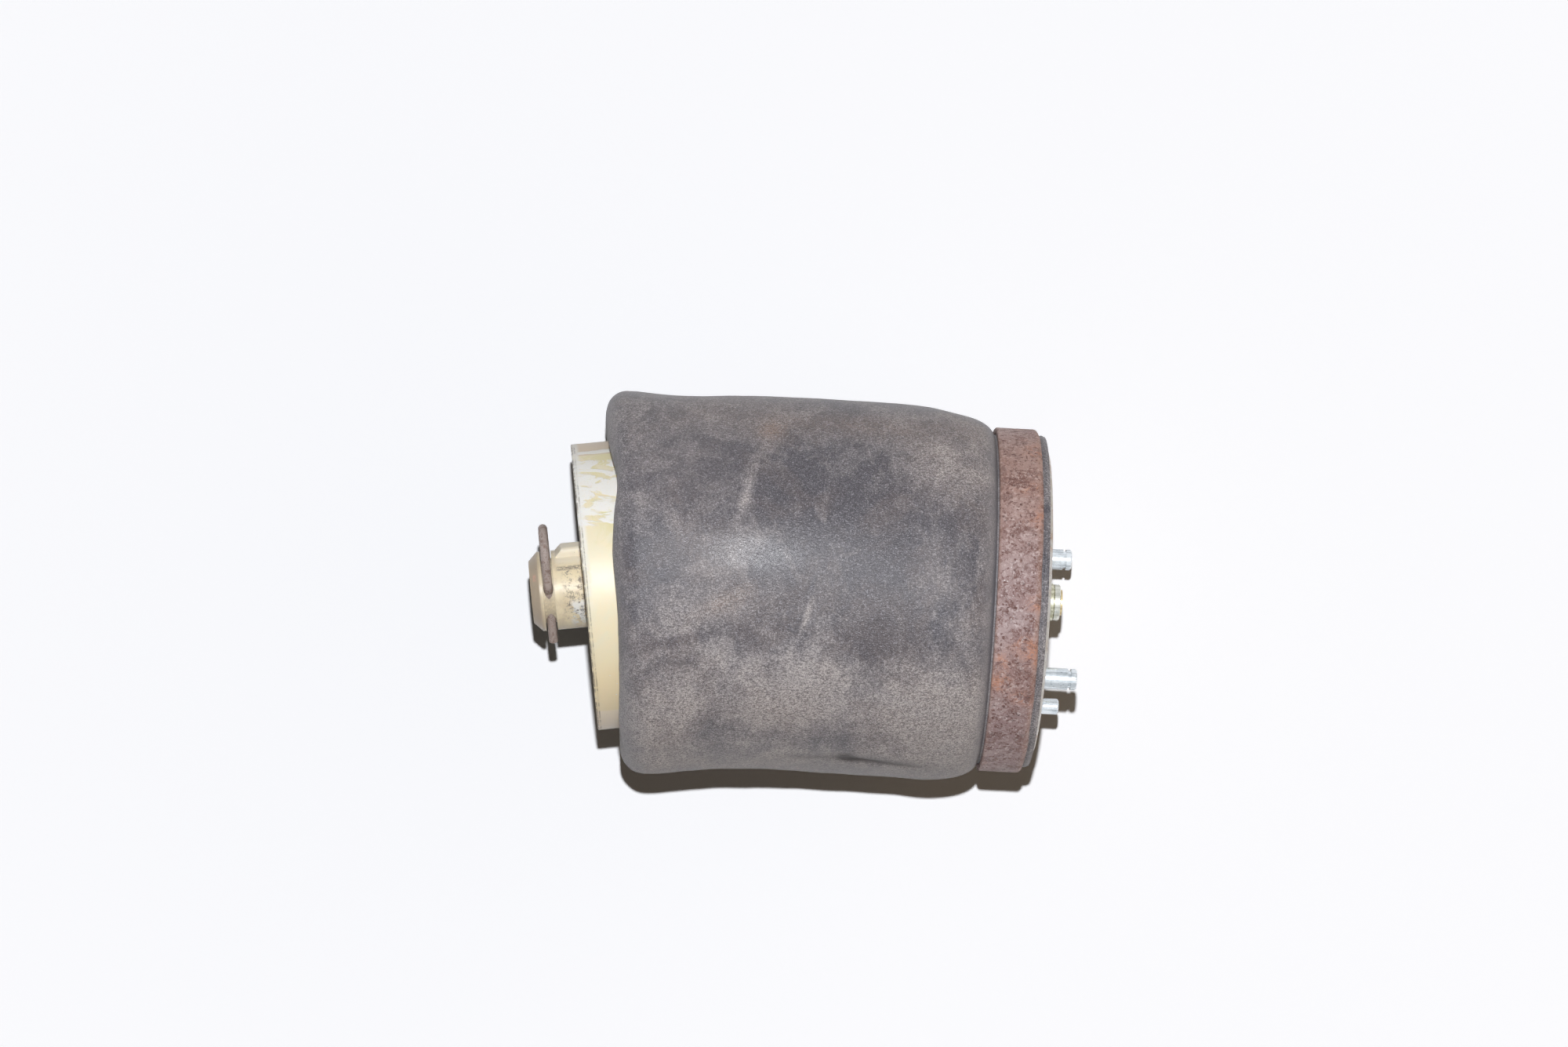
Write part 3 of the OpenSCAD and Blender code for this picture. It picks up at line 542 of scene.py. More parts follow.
def makeSkirtNylon():
    look = skirtLook
    s = Finish("agedNylon", {**nylon, "Subsurface Weight": 0.15, "Subsurface Scale": 0.003})
    place, depth, across, height = pistonPlace(s)
    # the low side, which gets painted light as well as its yellower colour
    low = s.rise(across, -14.0, -38.0)
    cloud = s.use(dust, place, 18.0, 0.45, 0.4)
    yellowing = s.use(dust, place, 13.0, 0.5, 0.2)
    wobble = s.noiseOf(place, 6.0, 3.0, 0.6)
    upper = s.rise(s.plus(height, s.times(wobble, 14.0)), -14.0, 2.0)
    edgeBand = s.rise(across, look["edgeTop"], look["edgeTop"] + 0.6)
    lowBand = s.rise(across, look["edgeLow"] + 0.6, look["edgeLow"])

    # Salt crust: closed over the upper skirt but for a few windows, and one long streak at its edge
    bed = s.noiseOf(s.stretched(place, (0.4, 1.0, 1.0)), 6.25, 6.0, 0.62, 1.0)
    window = s.times(s.rise(across, look["saltFrom"] - 4.0, look["saltFrom"] + 7.0),
                     s.rise(across, look["saltTo"] + 0.6, look["saltTo"] - 1.0), s.rise(height, -14.0, 6.0))
    crust = s.rise(s.times(s.plus(bed, 0.15), window), 0.56, 0.62)
    rim = s.times(s.rise(depth, 3.4, 1.8), s.rise(across, -20.0, 30.0),
                  s.rise(s.plus(bed, s.times(across, 0.004)), 0.42, 0.5))
    streak = s.times(s.rise(s.farFrom(s.plus(across, wobble), look["streakAt"]), 0.75, 0.5),
                     s.rise(depth, 1.6, 2.4), s.rise(height, 0.0, 4.0))
    powder = s.rise(s.noiseOf(place, 0.7, 3.0, 0.7), 0.3, 0.5)
    salt = s.times(s.most(crust, s.times(rim, 0.85), streak), s.mixValues(powder, 0.75, 1.0))

    # Dirt in the seam and pockets, and specks
    blot = s.noiseOf(place, 2.4, 4.0, 0.7)
    long = s.noiseOf(place, 9.0, 2.0, 0.5)
    fromAxis = s.plus(s.times(across, across), s.times(height, height))
    onSkirt = s.rise(fromAxis, *look["skirtFrom"])
    seam = s.times(s.rise(s.farFrom(depth, piston["rim"] / mm), 0.34, 0.1), s.rise(blot, 0.4, 0.56),
                   s.rise(long, 0.42, 0.58), onSkirt)
    rimDirt = s.times(s.rise(depth, 0.9, 0.2), s.rise(blot, 0.36, 0.55), s.rise(long, 0.34, 0.5),
                      s.rise(fromAxis, *look["rimFrom"]))
    pocket = s.times(s.rise(depth, 1.2, 3.0), s.rise(blot, 0.32, 0.62), s.minus(1.0, onSkirt))
    dots = s.use(specks, place, 4.6, 0.27, 0.4)
    grit = s.use(specks, place, 1.5, 0.12, 0.12)
    paleDots = s.times(s.use(specks, place, 2.6, 0.33, 0.3), s.mixValues(low, 0.15, 0.9))
    dirt = s.mostOf((seam, 0.5), (rimDirt, 0.75), (pocket, 0.3), (dots, 0.75), (grit, 0.4))

    colour = s.layers(look["ivory"], (s.mixValues(low, s.times(cloud, 0.4), 0.9), look["shade"]),
                      (s.times(yellowing, s.rise(across, 8.0, 24.0)), look["patch"]),
                      (s.times(edgeBand, upper), look["edgeSkin"]),
                      (s.times(lowBand, upper), look["lowBandSkinAndLight"]),
                      (salt, look["salt"]), (paleDots, look["salt"]), (dirt, look["grime"]))
    roughness = s.mixValues(dirt, s.mixValues(salt, 0.42, 0.85), 0.75)
    return s.done(colour, roughness, s.sumOf((salt, 0.6), (blot, 0.12)), 0.16)


def makeNoseNylon():
    look = noseLook
    s = Finish("wornNylon", {**nylon, "Subsurface Weight": 0.12, "Subsurface Scale": 0.002})
    place, depth, across, _ = pistonPlace(s)
    cloud = s.use(dust, place, 7.0, 0.45, 0.35)
    tip = s.rise(depth, -15.0, -17.5)
    key = s.times(s.rise(across, 8.5, 11.0), s.rise(depth, -11.0, -9.0))

    # Salt patch and mould beside it, a darker line along one root of the key, and dirt with painted shade in
    # the clip groove
    bed = s.noiseOf(place, 3.2, 5.0, 0.68, 0.6)
    fine = s.noiseOf(place, 0.9, 3.0, 0.7)
    smudge = s.noiseOf(place, 2.2, 4.0, 0.7)
    grit = s.use(specks, place, 2.2, 0.2, 0.3)
    salt = s.times(s.within(depth, -5.5, 0.5, 1.2), s.within(across, -13.5, -4.5, 1.5),
                   s.rise(bed, 0.43, 0.5))
    mould = s.times(s.within(depth, -7.5, 0.5, 1.5), s.within(across, -11.0, 8.0, 2.0),
                    s.rise(smudge, 0.46, 0.6), s.rise(fine, 0.34, 0.6))
    root = s.times(s.rise(s.farFrom(across, look["keyRoot"]), 1.2, 0.2), s.within(depth, -9.5, 0.0, 0.6),
                   s.rise(fine, 0.38, 0.52))
    groove = s.times(s.within(depth, -15.6, -11.2, 0.2), s.rise(fine, 0.2, 0.6))
    # dirt here also holds the painted shade of the clip groove
    dirt = s.mostOf((mould, 0.8), (root, 0.7), (groove, 0.3), (grit, 0.5))
    pink = s.times(s.within(depth, -18.8, -17.6, 0.4), s.within(across, 4.0, 6.5, 0.6),
                   s.rise(fine, 0.36, 0.5))

    colour = s.layers(look["ivory"], (cloud, look["shade"]), (s.times(tip, 0.8), look["tip"]),
                      (s.times(key, 0.6), look["keyTintAndHighlight"]), (s.times(pink, 0.6), look["pink"]),
                      (salt, look["salt"]), (dirt, look["grime"]))
    return s.done(colour, s.mixValues(s.most(salt, dirt), 0.4, 0.8), s.sumOf((salt, 0.5), (bed, 0.3)), 0.16)


metalLooks = {                          # pale, tinge, stain (also the dark of the painted reflection streaks) and roughness
    "brightZinc": ((0.8, 0.85, 0.88), (0.66, 0.72, 0.76), (0.24, 0.27, 0.29), 0.2),
    "yellowZinc": ((0.7, 0.69, 0.54), (0.56, 0.55, 0.4), (0.26, 0.25, 0.16), 0.26),
    "paleCollar": ((0.72, 0.72, 0.66), (0.6, 0.6, 0.52), (0.3, 0.3, 0.25), 0.22),
    "colletBrass": ((0.84, 0.7, 0.4), (0.7, 0.56, 0.3), (0.3, 0.2, 0.1), 0.3),
    "valveMetal": ((0.7, 0.7, 0.68), (0.6, 0.6, 0.58), (0.3, 0.3, 0.28), 0.3),
    "clampSteel": ((0.5, 0.49, 0.47), (0.4, 0.39, 0.37), (0.2, 0.18, 0.16), 0.4),
}
metals = [makeMetal(name, *look) for name, look in metalLooks.items()]
finishes = [makeRubber(), makeRingRust(), makeWireRust(), makePlateSteel(), makeSealRubber(), makeFoam(),
            makeSkirtNylon(), makeNoseNylon(), *metals]
materials = {finish.name: finish for finish in finishes}
nodeFinishes = {
    "top_plate": "dullSteel", "weld_boss": "dullSteel", "upper_crimp_ring": "rustyBand",
    "locating_stud_a": "brightZinc", "locating_stud_b": "brightZinc", "index_pin": "brightZinc",
    "connector_body": "yellowZinc", "collet_collar": "paleCollar", "collet": "colletBrass",
    "connector_seal_ring": "sealRubber", "air_line_seal": "sealRubber",
    "valve_poppet": "valveMetal", "valve_spring": "valveMetal", "valve_retainer": "valveMetal",
    "piston_shell": "agedNylon", "piston_base": "agedNylon", "locating_nose": "wornNylon",
    "lower_clamp_ring": "clampSteel", "bump_stop": "stopFoam", "retaining_clip": "rustyWire",
    "bellows": "dustyRubber",
}
for nodeName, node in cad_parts.items():
    node.data.materials.clear()
    node.data.materials.append(materials[nodeFinishes[nodeName]])
print("finishes made:", len(materials))


# Mesh helpers

def newPiece(name, points, faces, material, masks=None):
    mesh = bpy.data.meshes.new(name)
    mesh.from_pydata(points.tolist(), [], faces)
    mesh.validate()
    mesh.shade_smooth()
    mesh.set_sharp_from_angle(angle=math.radians(48))
    mesh.attributes.new("restCo", "FLOAT_VECTOR", "POINT").data.foreach_set("vector", points.ravel())
    for label, values in (masks or {}).items():
        mesh.attributes.new(label, "FLOAT", "POINT").data.foreach_set("value", values.ravel())
    mesh.materials.append(material)
    return addObject(name, mesh)


def ringFaces(rows, around, closed):    # faces of a grid whose rows are rings
    faces = []
    for i in range(rows if closed else rows - 1):
        a, b = i * around, (i + 1) % rows * around
        for j in range(around):
            k = (j + 1) % around
            faces.append((a + j, a + k, b + k, b + j))
    return faces


def tubeFaces(rings, around):           # with both ends closed
    ends = [tuple(range(around - 1, -1, -1)), tuple((rings - 1) * around + k for k in range(around))]
    return ringFaces(rings, around, False) + ends


def columns(*values):                   # rows from lists of one length and single numbers
    return np.stack(np.broadcast_arrays(*(np.atleast_1d(value) for value in values)), 1)


def revolve(profile, angle):            # a grid from rows of x and radius, turned about the x axis
    x, radius = profile[:, :1], profile[:, 1:2]
    return np.stack([np.repeat(x, len(angle), 1), radius * np.cos(angle), radius * np.sin(angle)], 2)


def smoothStep(t):
    t = np.clip(t, 0, 1)
    return t * t * (3 - 2 * t)


def bump(values, centre, width):
    return np.exp(-((values - centre) / width) ** 2)


def spot(x, y, long, wide, turn):       # 1 in the middle, falling off over the half sizes
    turn = math.radians(turn)
    u = (x * math.cos(turn) + y * math.sin(turn)) / long
    v = (y * math.cos(turn) - x * math.sin(turn)) / wide
    return np.exp(-u * u - v * v)


def ripple(points, size, seed):         # smooth random waves, about -1 to 1
    offset = Vector((seed * 7.3, seed * 3.1, seed * 5.7))
    return np.array([noise.noise(Vector(p) / size + offset) for p in points.reshape(-1, 3)])


# Bellows: one rubber wall, made as in the solid model but finer, then shaped by the listed marks

bellows = {
    "around": 360,
    "axisHeight": 69.5 * mm,            # over the table
    "rollTilt": math.radians(5.5),
    "sideBow": 2.4 * mm,
    "wall": 3.0 * mm,
    "squeezed": 2.3 * mm,               # wall under the crimp ring
    "clamped": 2.6 * mm,                # wall under the clamp ring
    "gap": 0.35 * mm,
    "lipBack": 1.4 * mm,
    "sleeveRadius": 68.8 * mm,
    "rollOuterRadius": 70.5 * mm,
    "swell": 24 * mm,
    "taper": 30 * mm,
    "legLength": 31 * mm,
    "shoulderIn": 24 * mm,
    "shoulderRadius": 7 * mm,
    "neckRadius": 40 * mm,
    "neckLength": 16 * mm,
    "neckBend": 5 * mm,
    "seamX": -100 * mm,                 # where the part at the plate meets the part at the roll
    "legFrom": 262,                     # degrees round the roll, where the inner leg begins
    "step": 1.15 * mm,
    "airStep": 9,                       # rows for each row of the wall's inner side
    "legAirStep": 2,
    "waves": ((34, 0.55), (13, 0.28), (4.5, 0.07)),     # size and height in mm
    "wavesOver": 26 * mm,               # from the crimp ring to their full height
    "wideFrom": 71.0 * mm,              # beyond this half width the bulge gives way
    "wideGive": 1.4 * mm,
    "lowSideDustAndLight": 0.46,                    # dust on the low side, which starts at 98 degrees; partly painted light that lightens that side
    "ringCalm": 0.8,                    # calm rubber for 2.2 mm beside the crimp ring, fading over 5 mm
    "edgeCalm": 0.4,                    # on the roll's edge
    "edgeDust": 0.25,
}
ringLow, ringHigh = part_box("upper_crimp_ring")
ringThickness = 2.3 * mm
ringInner = ringHigh.y - ringThickness

squeezedRadius = ringInner - bellows["gap"] - bellows["squeezed"] / 2
legRadius = piston["skirtRadius"] + bellows["gap"] + bellows["wall"] / 2
rollRadius = (bellows["rollOuterRadius"] - legRadius) / 2
shoulderX = bellows["shoulderIn"] - piston["tiltBack"]
legInX = shoulderX - bellows["shoulderRadius"]
rollX = legInX - bellows["legLength"]
swellX = ringLow.x - bellows["squeezed"] / 2 - bellows["gap"]


def wallLine():                         # rows of x, radius, thickness, share that follows the piston
    b, step, rows = bellows, bellows["step"], []

    def add(*values):
        rows.append(columns(*values))

    def bend(x, radius, turn, start, end, thickness, count):
        angle = np.radians(np.linspace(start, end, count))
        add(x + turn * np.cos(angle), radius + turn * np.sin(angle), thickness, 1.0)

    add(np.linspace(-b["lipBack"], ringHigh.x - 1 * mm, 9), squeezedRadius, b["squeezed"], 0.0)
    add(np.linspace(ringHigh.x - 4 * mm, ringLow.x + 1 * mm, 4), squeezedRadius, b["squeezed"], 0.0)
    angle = np.radians(np.linspace(0, 90, 26))
    add(swellX - b["swell"] * (1 - np.cos(angle)),
        squeezedRadius + (b["sleeveRadius"] - squeezedRadius) * np.sin(angle),
        b["squeezed"] + (b["wall"] - b["squeezed"]) * smoothStep(angle), 0.0)
    add(np.arange(swellX - b["swell"] - step, rollX + b["taper"], -step), b["sleeveRadius"], b["wall"], 0.0)
    t = np.arange(0, 1, step / b["taper"])
    add(rollX + b["taper"] * (1 - t),
        b["sleeveRadius"] + (b["rollOuterRadius"] - b["sleeveRadius"]) * smoothStep(t), b["wall"], 0.0)
    angle = np.radians(np.linspace(90, 270, 37))
    add(rollX + rollRadius * np.cos(angle), legRadius + rollRadius * (1 + np.sin(angle)), b["wall"],
        smoothStep((np.degrees(angle) - 90) / 180))
    add(rollX + b["legLength"] * np.linspace(0.2, 0.9, 4), legRadius, b["wall"], 1.0)
    over = b["shoulderRadius"] + b["gap"] + b["wall"] / 2
    bend(legInX, piston["skirtRadius"] - b["shoulderRadius"], over, 90, 0, b["wall"], 8)
    neckWall = b["neckRadius"] + b["gap"] + b["clamped"] / 2
    bend(shoulderX + b["gap"] + b["wall"] / 2 + b["neckBend"], neckWall + b["neckBend"], b["neckBend"],
         180, 270, b["clamped"], 6)
    add(shoulderX + b["neckLength"] - 1 * mm, neckWall, b["clamped"], 1.0)
    return np.concatenate(rows)


def slack(points, share):               # from the straight spring to the slack one on the table
    b = bellows
    x, y, z = points.T
    lean = math.tan(piston["tiltSide"]) - math.tan(b["rollTilt"])
    onLeg = points + np.array([piston["tiltBack"], 0, 0])
    onLeg[:, 0] += smoothStep((legInX - x) / b["legLength"]) * y * lean
    onLeg = pistonToRow(onLeg)
    start = np.array([[rollX, 0.0, 0.0]])
    rollMoved = pistonToRow(start + np.array([piston["tiltBack"], 0, 0])) - start
    t = np.clip((swellX - x) / (swellX - rollX), 0, 1)
    s = smoothStep(t)
    onSleeve = points + s[:, None] * rollMoved
    onSleeve[:, 0] += s * (z * math.tan(piston["tiltUp"]) - y * math.tan(b["rollTilt"]))
    onSleeve[:, 1] += b["sideBow"] * np.sin(np.pi * t)
    return onSleeve + share[:, None] * (onLeg - onSleeve)


# Dents and swellings of the slack rubber. Angles run from +Y over the top (90) to -Y (180)
rollMarks = [                           # angle, half width, push towards the plate
    (53, 11, 2.2), (79, 9, -0.8), (108, 12, 0.3), (139, 9, -0.7), (163, 6, 1.1),
]
sleeveMarks = [                         # x and angle of the middle, half sizes, turn, depth
    (-118, 70, 44, 16, 0, -1.7),
    (-70, 196, 42, 17, 0, -2.2),
    (-80, 166, 60, 12, 0, 0.8),
    (-134, 4, 16, 12, 0, 0.9),
    (-36, 4, 9, 14, 0, 1.2),
    (-65, 156, 15, 2.6, 4, 1.3),
    (-76, 151, 7, 2.2, -14, 0.7),
    (-52, 158, 6, 2.0, 10, -0.6),
    (-60, 148, 16, 4.0, 4, -0.7),
    (-128, 104, 22, 3.5, 14, 0.35),
    (-110, 128, 26, 5.0, 12, -0.3),
    (-141, 152, 10, 5.0, -10, 0.5),
    (-147, 62, 7, 6.0, 30, 0.5),
    (-96, 58, 20, 7.0, -25, 0.3),
]
dustMarks = [                           # x and y from above, half sizes, turn, what it adds
    (-111, 38, 2.3, 9, -10, {"dusty": 0.7}),
    (-112, 31, 1.6, 5, -14, {"dusty": 0.5}),
    (-104, 58, 5, 4, 30, {"brown": 0.8, "dusty": 0.2}),
    (-136, 44, 22, 18, 0, {"dusty": -0.1, "brown": 0.12, "calm": 0.25}),
    (-93, 38, 17, 15, 0, {"dusty": -0.35}),
    (-40, 48, 15, 14, 0, {"dusty": 0.5, "brown": 0.3}),
    (-149, 31, 2.3, 5, 0, {"dusty": 0.3}),
    (-30, -58, 14, 9, 0, {"dusty": 0.2}),
    (-80, -64, 70, 5, 0, {"dusty": 0.2, "brown": -0.1}),
    (-132, -10, 6, 9, -10, {"dusty": 0.2}),
    (-149, 6, 4, 10, 8, {"dusty": 0.05}),
    (-136, -20, 15, 2.2, 14, {"dusty": -0.6, "brown": 0.1}),
    (-131, -27, 8, 3, 8, {"dusty": -0.4}),
    (-118, -5, 12, 3.4, 27, {"dusty": 0.35, "brown": 0.4}),
    (-109, -28, 10, 6, 10, {"dusty": 0.4}),
    (-82, -29, 15, 9, 0, {"dusty": 0.5}),
    (-96, -43, 20, 9, 0, {"dusty": 0.45, "brown": 0.3}),
    (-130.5, -45, 2.6, 9, -12, {"dusty": 0.9}),
    (-140, -54, 9, 9, 0, {"dusty": 0.25, "brown": 0.15}),
    (-39, -50.5, 2.6, 9, -27, {"dusty": 0.9}),
    (-27, -44, 2.0, 9, -24, {"dusty": 0.65}),
    (-44, -40, 16, 12, 10, {"dusty": 0.75, "brown": 0.2}),
    (-143, 4, 10, 11, 0, {"dusty": -0.45}),
    (-88, -9, 0.9, 5.5, -16, {"dusty": 1.0}),
    (-64, 12, 26, 30, 0, {"dusty": -0.4}),
    (-114, 13, 26, 8, 0, {"dusty": -0.35, "gloss": 0.6}),
    (-111, 14, 9, 5, 0, {"dusty": 0.25, "gloss": 1.0}),
    (-100, 13, 14, 5, 0, {"gloss": 0.5}),
    (-66, -17, 16, 6, 0, {"dusty": -0.3}),
    (-78, 62, 60, 5, 0, {"brown": 0.4}),
    (-86, -53, 34, 5, 1, {"dusty": -0.42}),
    (-119, -53, 7, 8, -10, {"dusty": -0.35}),
    # painted shade along the folds of the low side
    (-64, -61.2, 11, 1.2, -3, {"paintedCreaseShade": 0.85}),
    (-70, -60.4, 3.5, 1.7, -6, {"paintedCreaseShade": 0.9}),
    (-49, -62.2, 9, 1.0, -4, {"paintedCreaseShade": 0.6}),
    (-84, -61, 9, 0.9, 2, {"paintedCreaseShade": 0.45}),
]


def paint(points, above):
    masks = {label: np.zeros(len(points)) for label in ("dusty", "brown", "calm", "gloss", "paintedCreaseShade")}
    for atX, atY, long, wide, turn, adds in dustMarks:
        here = spot(points[:, 0] / mm - atX, points[:, 1] / mm - atY, long, wide, turn) * above
        for label, amount in adds.items():
            masks[label] += here * amount
    return masks


def makeBellows():
    b = bellows
    around = b["around"]
    line = wallLine()
    allRows = np.arange(len(line))
    share = line[:, 3]
    run = np.gradient(line[:, :2], axis=0)
    run /= np.linalg.norm(run, axis=1)[:, None]
    normal = np.stack([run[:, 1], -run[:, 0]], 1)
    angle = np.linspace(0, 2 * np.pi, around, endpoint=False)
    degrees = np.degrees(angle)

    def skin(rows, side):
        return revolve(line[rows, :2] + side * line[rows, 2:3] / 2 * normal[rows], angle)

    # Loose waves everywhere on the free sleeve, and the marks
    outer = skin(allRows, 1)
    flat = outer.reshape(-1, 3)
    waves = sum(height * ripple(flat, size * mm, seed) for seed, (size, height) in enumerate(b["waves"], 1))
    free = smoothStep((swellX - 2 * mm - line[:, 0]) / b["wavesOver"]) * (share < 1)
    push = waves.reshape(len(line), around) * mm * free[:, None]
    for atX, atAngle, long, wide, turn, depth in sleeveMarks:
        x = line[:, 0, None] / mm - atX
        s = ((degrees[None, :] - atAngle + 180) % 360 - 180) * math.radians(1) * b["sleeveRadius"] / mm
        push -= depth * mm * spot(x, s, long, wide, turn) * (share < 0.2)[:, None]
    outer += push[:, :, None] * revolve(normal, angle)

    # Layers of the cut lip, and the roll's uneven edge
    steps = 0.35 * mm * bump(line[:, 0], ringHigh.x + 1.1 * mm, 0.5 * mm)
    steps += 0.3 * mm * bump(line[:, 0], -b["lipBack"] - 0.9 * mm, 0.45 * mm)
    outer[:, :, 1:] *= (1 + (line[:, 0] > ringHigh.x) * steps / line[:, 1])[:, None, None]
    onRoll = smoothStep(share / 0.35) * smoothStep((1 - share) / 0.12)
    dent = sum(depth * mm * bump(degrees, at, width) for at, width, depth in rollMarks)
    outer[:, :, 0] += onRoll[:, None] * dent[None, :]

    def lay(grid, rows, least):
        points = slack(grid.reshape(-1, 3), np.repeat(share[rows], around))
        points[:, 2] = np.maximum(points[:, 2], least - b["axisHeight"])
        beyond = np.maximum(np.abs(points[:, 1]) - b["wideFrom"], 0.0) / b["wideGive"]
        points[:, 1] -= np.sign(points[:, 1]) * b["wideGive"] * (beyond - np.tanh(beyond))
        return points.reshape(grid.shape)

    outer = lay(outer, allRows, 0.0)
    masks = paint(outer.reshape(-1, 3), np.tile(np.clip(np.sin(angle) * 3, 0, 1), len(line)))
    fromRing = (ringLow.x - line[:, 0]) / mm
    besideRing = b["ringCalm"] * (1 - smoothStep((fromRing - 2.2) / 5.0)) * (fromRing > -1) * (share < 0.5)
    sides = 0.5 - 0.5 * smoothStep(np.abs(np.abs(degrees - 90) - 90) / 26)     # towards +Y and -Y
    onEdge = smoothStep(share / 0.2)
    onLip = line[:, 0] > ringHigh.x - 1 * mm
    # lighter low side: dust, and painted light that brightens it
    lowSide = b["lowSideDustAndLight"] * smoothStep((degrees - 98) / 34) * (degrees < 270)
    masks["calm"] = np.maximum.reduce([masks["calm"], np.repeat(besideRing, around),
                                       np.tile(sides, len(line)), np.repeat(b["edgeCalm"] * onEdge, around)])
    masks["dusty"] += np.tile(lowSide, len(line)) + np.repeat(b["edgeDust"] * onEdge - 0.1 * onLip, around)
    masks["brown"] -= np.repeat(0.3 * onLip, around)

    def part(name, first, last, airStep):
        rows = np.arange(first, last + 1)
        airRows = np.unique(np.append(rows[::airStep], last))
        air = lay(skin(airRows, -1), airRows, b["wall"])[::-1]
        points = np.concatenate([outer[rows].reshape(-1, 3), air.reshape(-1, 3)])
        faces = ringFaces(len(rows) + len(air), around, True)
        partMasks = {}
        for label, values in masks.items():
            shown = values.reshape(len(line), around)[rows].ravel()
            partMasks[label] = np.append(shown, np.zeros(air.size // 3))
        return newPiece(name, points, faces, materials["dustyRubber"], partMasks)

    seam = int(np.argmin(abs(line[:, 0] - b["seamX"]) + (share > 0)))
    rollEnd = int(np.argmax(share >= smoothStep((b["legFrom"] - 90) / 180)))
    sleeve = part("sleeve_at_plate", 0, seam, b["airStep"])
    roll = part("sleeve_at_roll", seam, rollEnd, b["airStep"])
    leg = part("bellows_leg", rollEnd, len(line) - 1, b["legAirStep"])

    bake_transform(sleeve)
    lean = np.array([-1.0, -math.tan(b["rollTilt"]), math.tan(piston["tiltUp"])])
    lean /= np.linalg.norm(lean)
    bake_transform(roll)
    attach(leg, "piston")
    for piece in (sleeve, roll, leg):
        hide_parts("bellows")


makeBellows()


# Crimp ring: a turned band with worn edges and rust pits in its face

crimpRing = {
    "around": 900,
    "frontEdge": 1.9 * mm,
    "backEdge": 0.8 * mm,
    "faceRows": 40,
    "waviness": 0.45 * mm,
    "wavesTo": 0.2,                     # waves of the front edge stop at this height
    "pitting": 0.16 * mm,
    "pitsFrom": 0.25,                   # roughness over this stays flat
    # Orange spots: angle and half width in degrees, place across from back (0) to front (1)
    "spots": [(116, 3, 0.15), (122, 2.5, 0.75), (107, 3.5, 0.95), (109, 3, 0.1), (103, 2.5, 0.7),
              (61, 3.5, 1.0), (50, 2, 0.7), (90, 3, 1.0), (30, 4, 0.9)],
}


def makeCrimpRing():
    c = crimpRing
    front, back, outside = ringHigh.x, ringLow.x, ringHigh.y
    faceFront, faceBack = front - c["frontEdge"], back + c["backEdge"]

    def corner(x, radius, start, end, count):
        t = np.radians(np.linspace(start, end, count))
        return columns(x + radius * np.cos(t), outside - radius * (1 - np.sin(t)), 1)

    rows = np.concatenate([             # x, radius, 1 on the outside
        columns(front - 0.2 * mm, ringInner, 0),
        corner(faceFront, c["frontEdge"], 0, 90, 10),
        columns(np.linspace(faceFront, faceBack, c["faceRows"])[1:-1], outside, 1),
        corner(faceBack, c["backEdge"], 90, 180, 6),
        columns(back, ringInner, 0),
    ])
    x, rusty = rows[:, 0], rows[:, 2:3]
    angle = np.linspace(0, 2 * np.pi, c["around"], endpoint=False)
    degrees = np.degrees(angle)
    grid = revolve(rows, angle)
    flat = grid.reshape(-1, 3)
    rough = (0.6 * ripple(flat, 3.2 * mm, 4) + 0.4 * ripple(flat, 1.4 * mm, 5)).reshape(grid.shape[:2])
    sway = ripple(np.stack([angle * 0, np.cos(angle), np.sin(angle)], 1) * 60 * mm, 16 * mm, 6)
    pits = (np.minimum(rough, c["pitsFrom"]) - c["pitsFrom"]) * c["pitting"] * rusty
    grid[:, :, 1:] *= (1 + pits / outside)[:, :, None]
    nearFront = smoothStep((x - (front - 5 * mm)) / (5 * mm))[:, None]
    grid[:, :, 0] += np.minimum(sway, c["wavesTo"])[None, :] * c["waviness"] * nearFront * rusty

    across = (x - back) / (front - back)
    edge = np.maximum(bump(x, front - 1.2 * mm, 0.9 * mm), bump(x, back + 0.3 * mm, 0.6 * mm))
    orange = sum(bump(degrees, at, wide)[None, :] * bump(across, place, 0.28)[:, None]
                 for at, wide, place in c["spots"])
    warm = np.maximum(bump(degrees, 40, 32), 0.4 * bump(degrees, 114, 12))
    # painted glints: a few all round, most on the top near the back edge, where the lamp's highlight falls
    paintedGlintSpread = 0.25 + bump(degrees, 84, 7)[None, :] * bump(across, 0.18, 0.2)[:, None]
    masks = {"edge": np.repeat(edge, c["around"]), "orange": np.clip(orange, 0, 1),
             "warm": np.tile(warm, len(rows)), "paintedGlint": np.clip(paintedGlintSpread, 0, 1)}
    faces = ringFaces(len(rows), c["around"], True)
    piece = newPiece("crimp_ring_skin", flat, faces, materials["rustyBand"], masks)
    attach(piece, "upper_mount")
    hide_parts("upper_crimp_ring")
    print("crimp ring made")


makeCrimpRing()


# Retaining clip: a bent wire with rounded cut ends

clip = {
    "wireRadius": 1.7 * mm,
    "legGap": 19.6 * mm,
    "legPast": 16.3 * mm,
    "bendOut": 15.7 * mm,
    "kinkAt": 5.3 * mm,                 # the legs spread a little outside the tunnels' mouths
    "kinkLong": 2.4 * mm,
    "kink": 1.5 * mm,
    "angle": math.radians(30),
    "grooveOut": 13.4 * mm,             # middle of the clip groove from the end face
    "sides": 28,
    "step": 0.6 * mm,
    "wear": 0.09 * mm,
    "ends": (0.25, 0.7, 0.93),          # shares of the radius in the rounded ends
    "endLength": 0.55,                  # of the radius
}


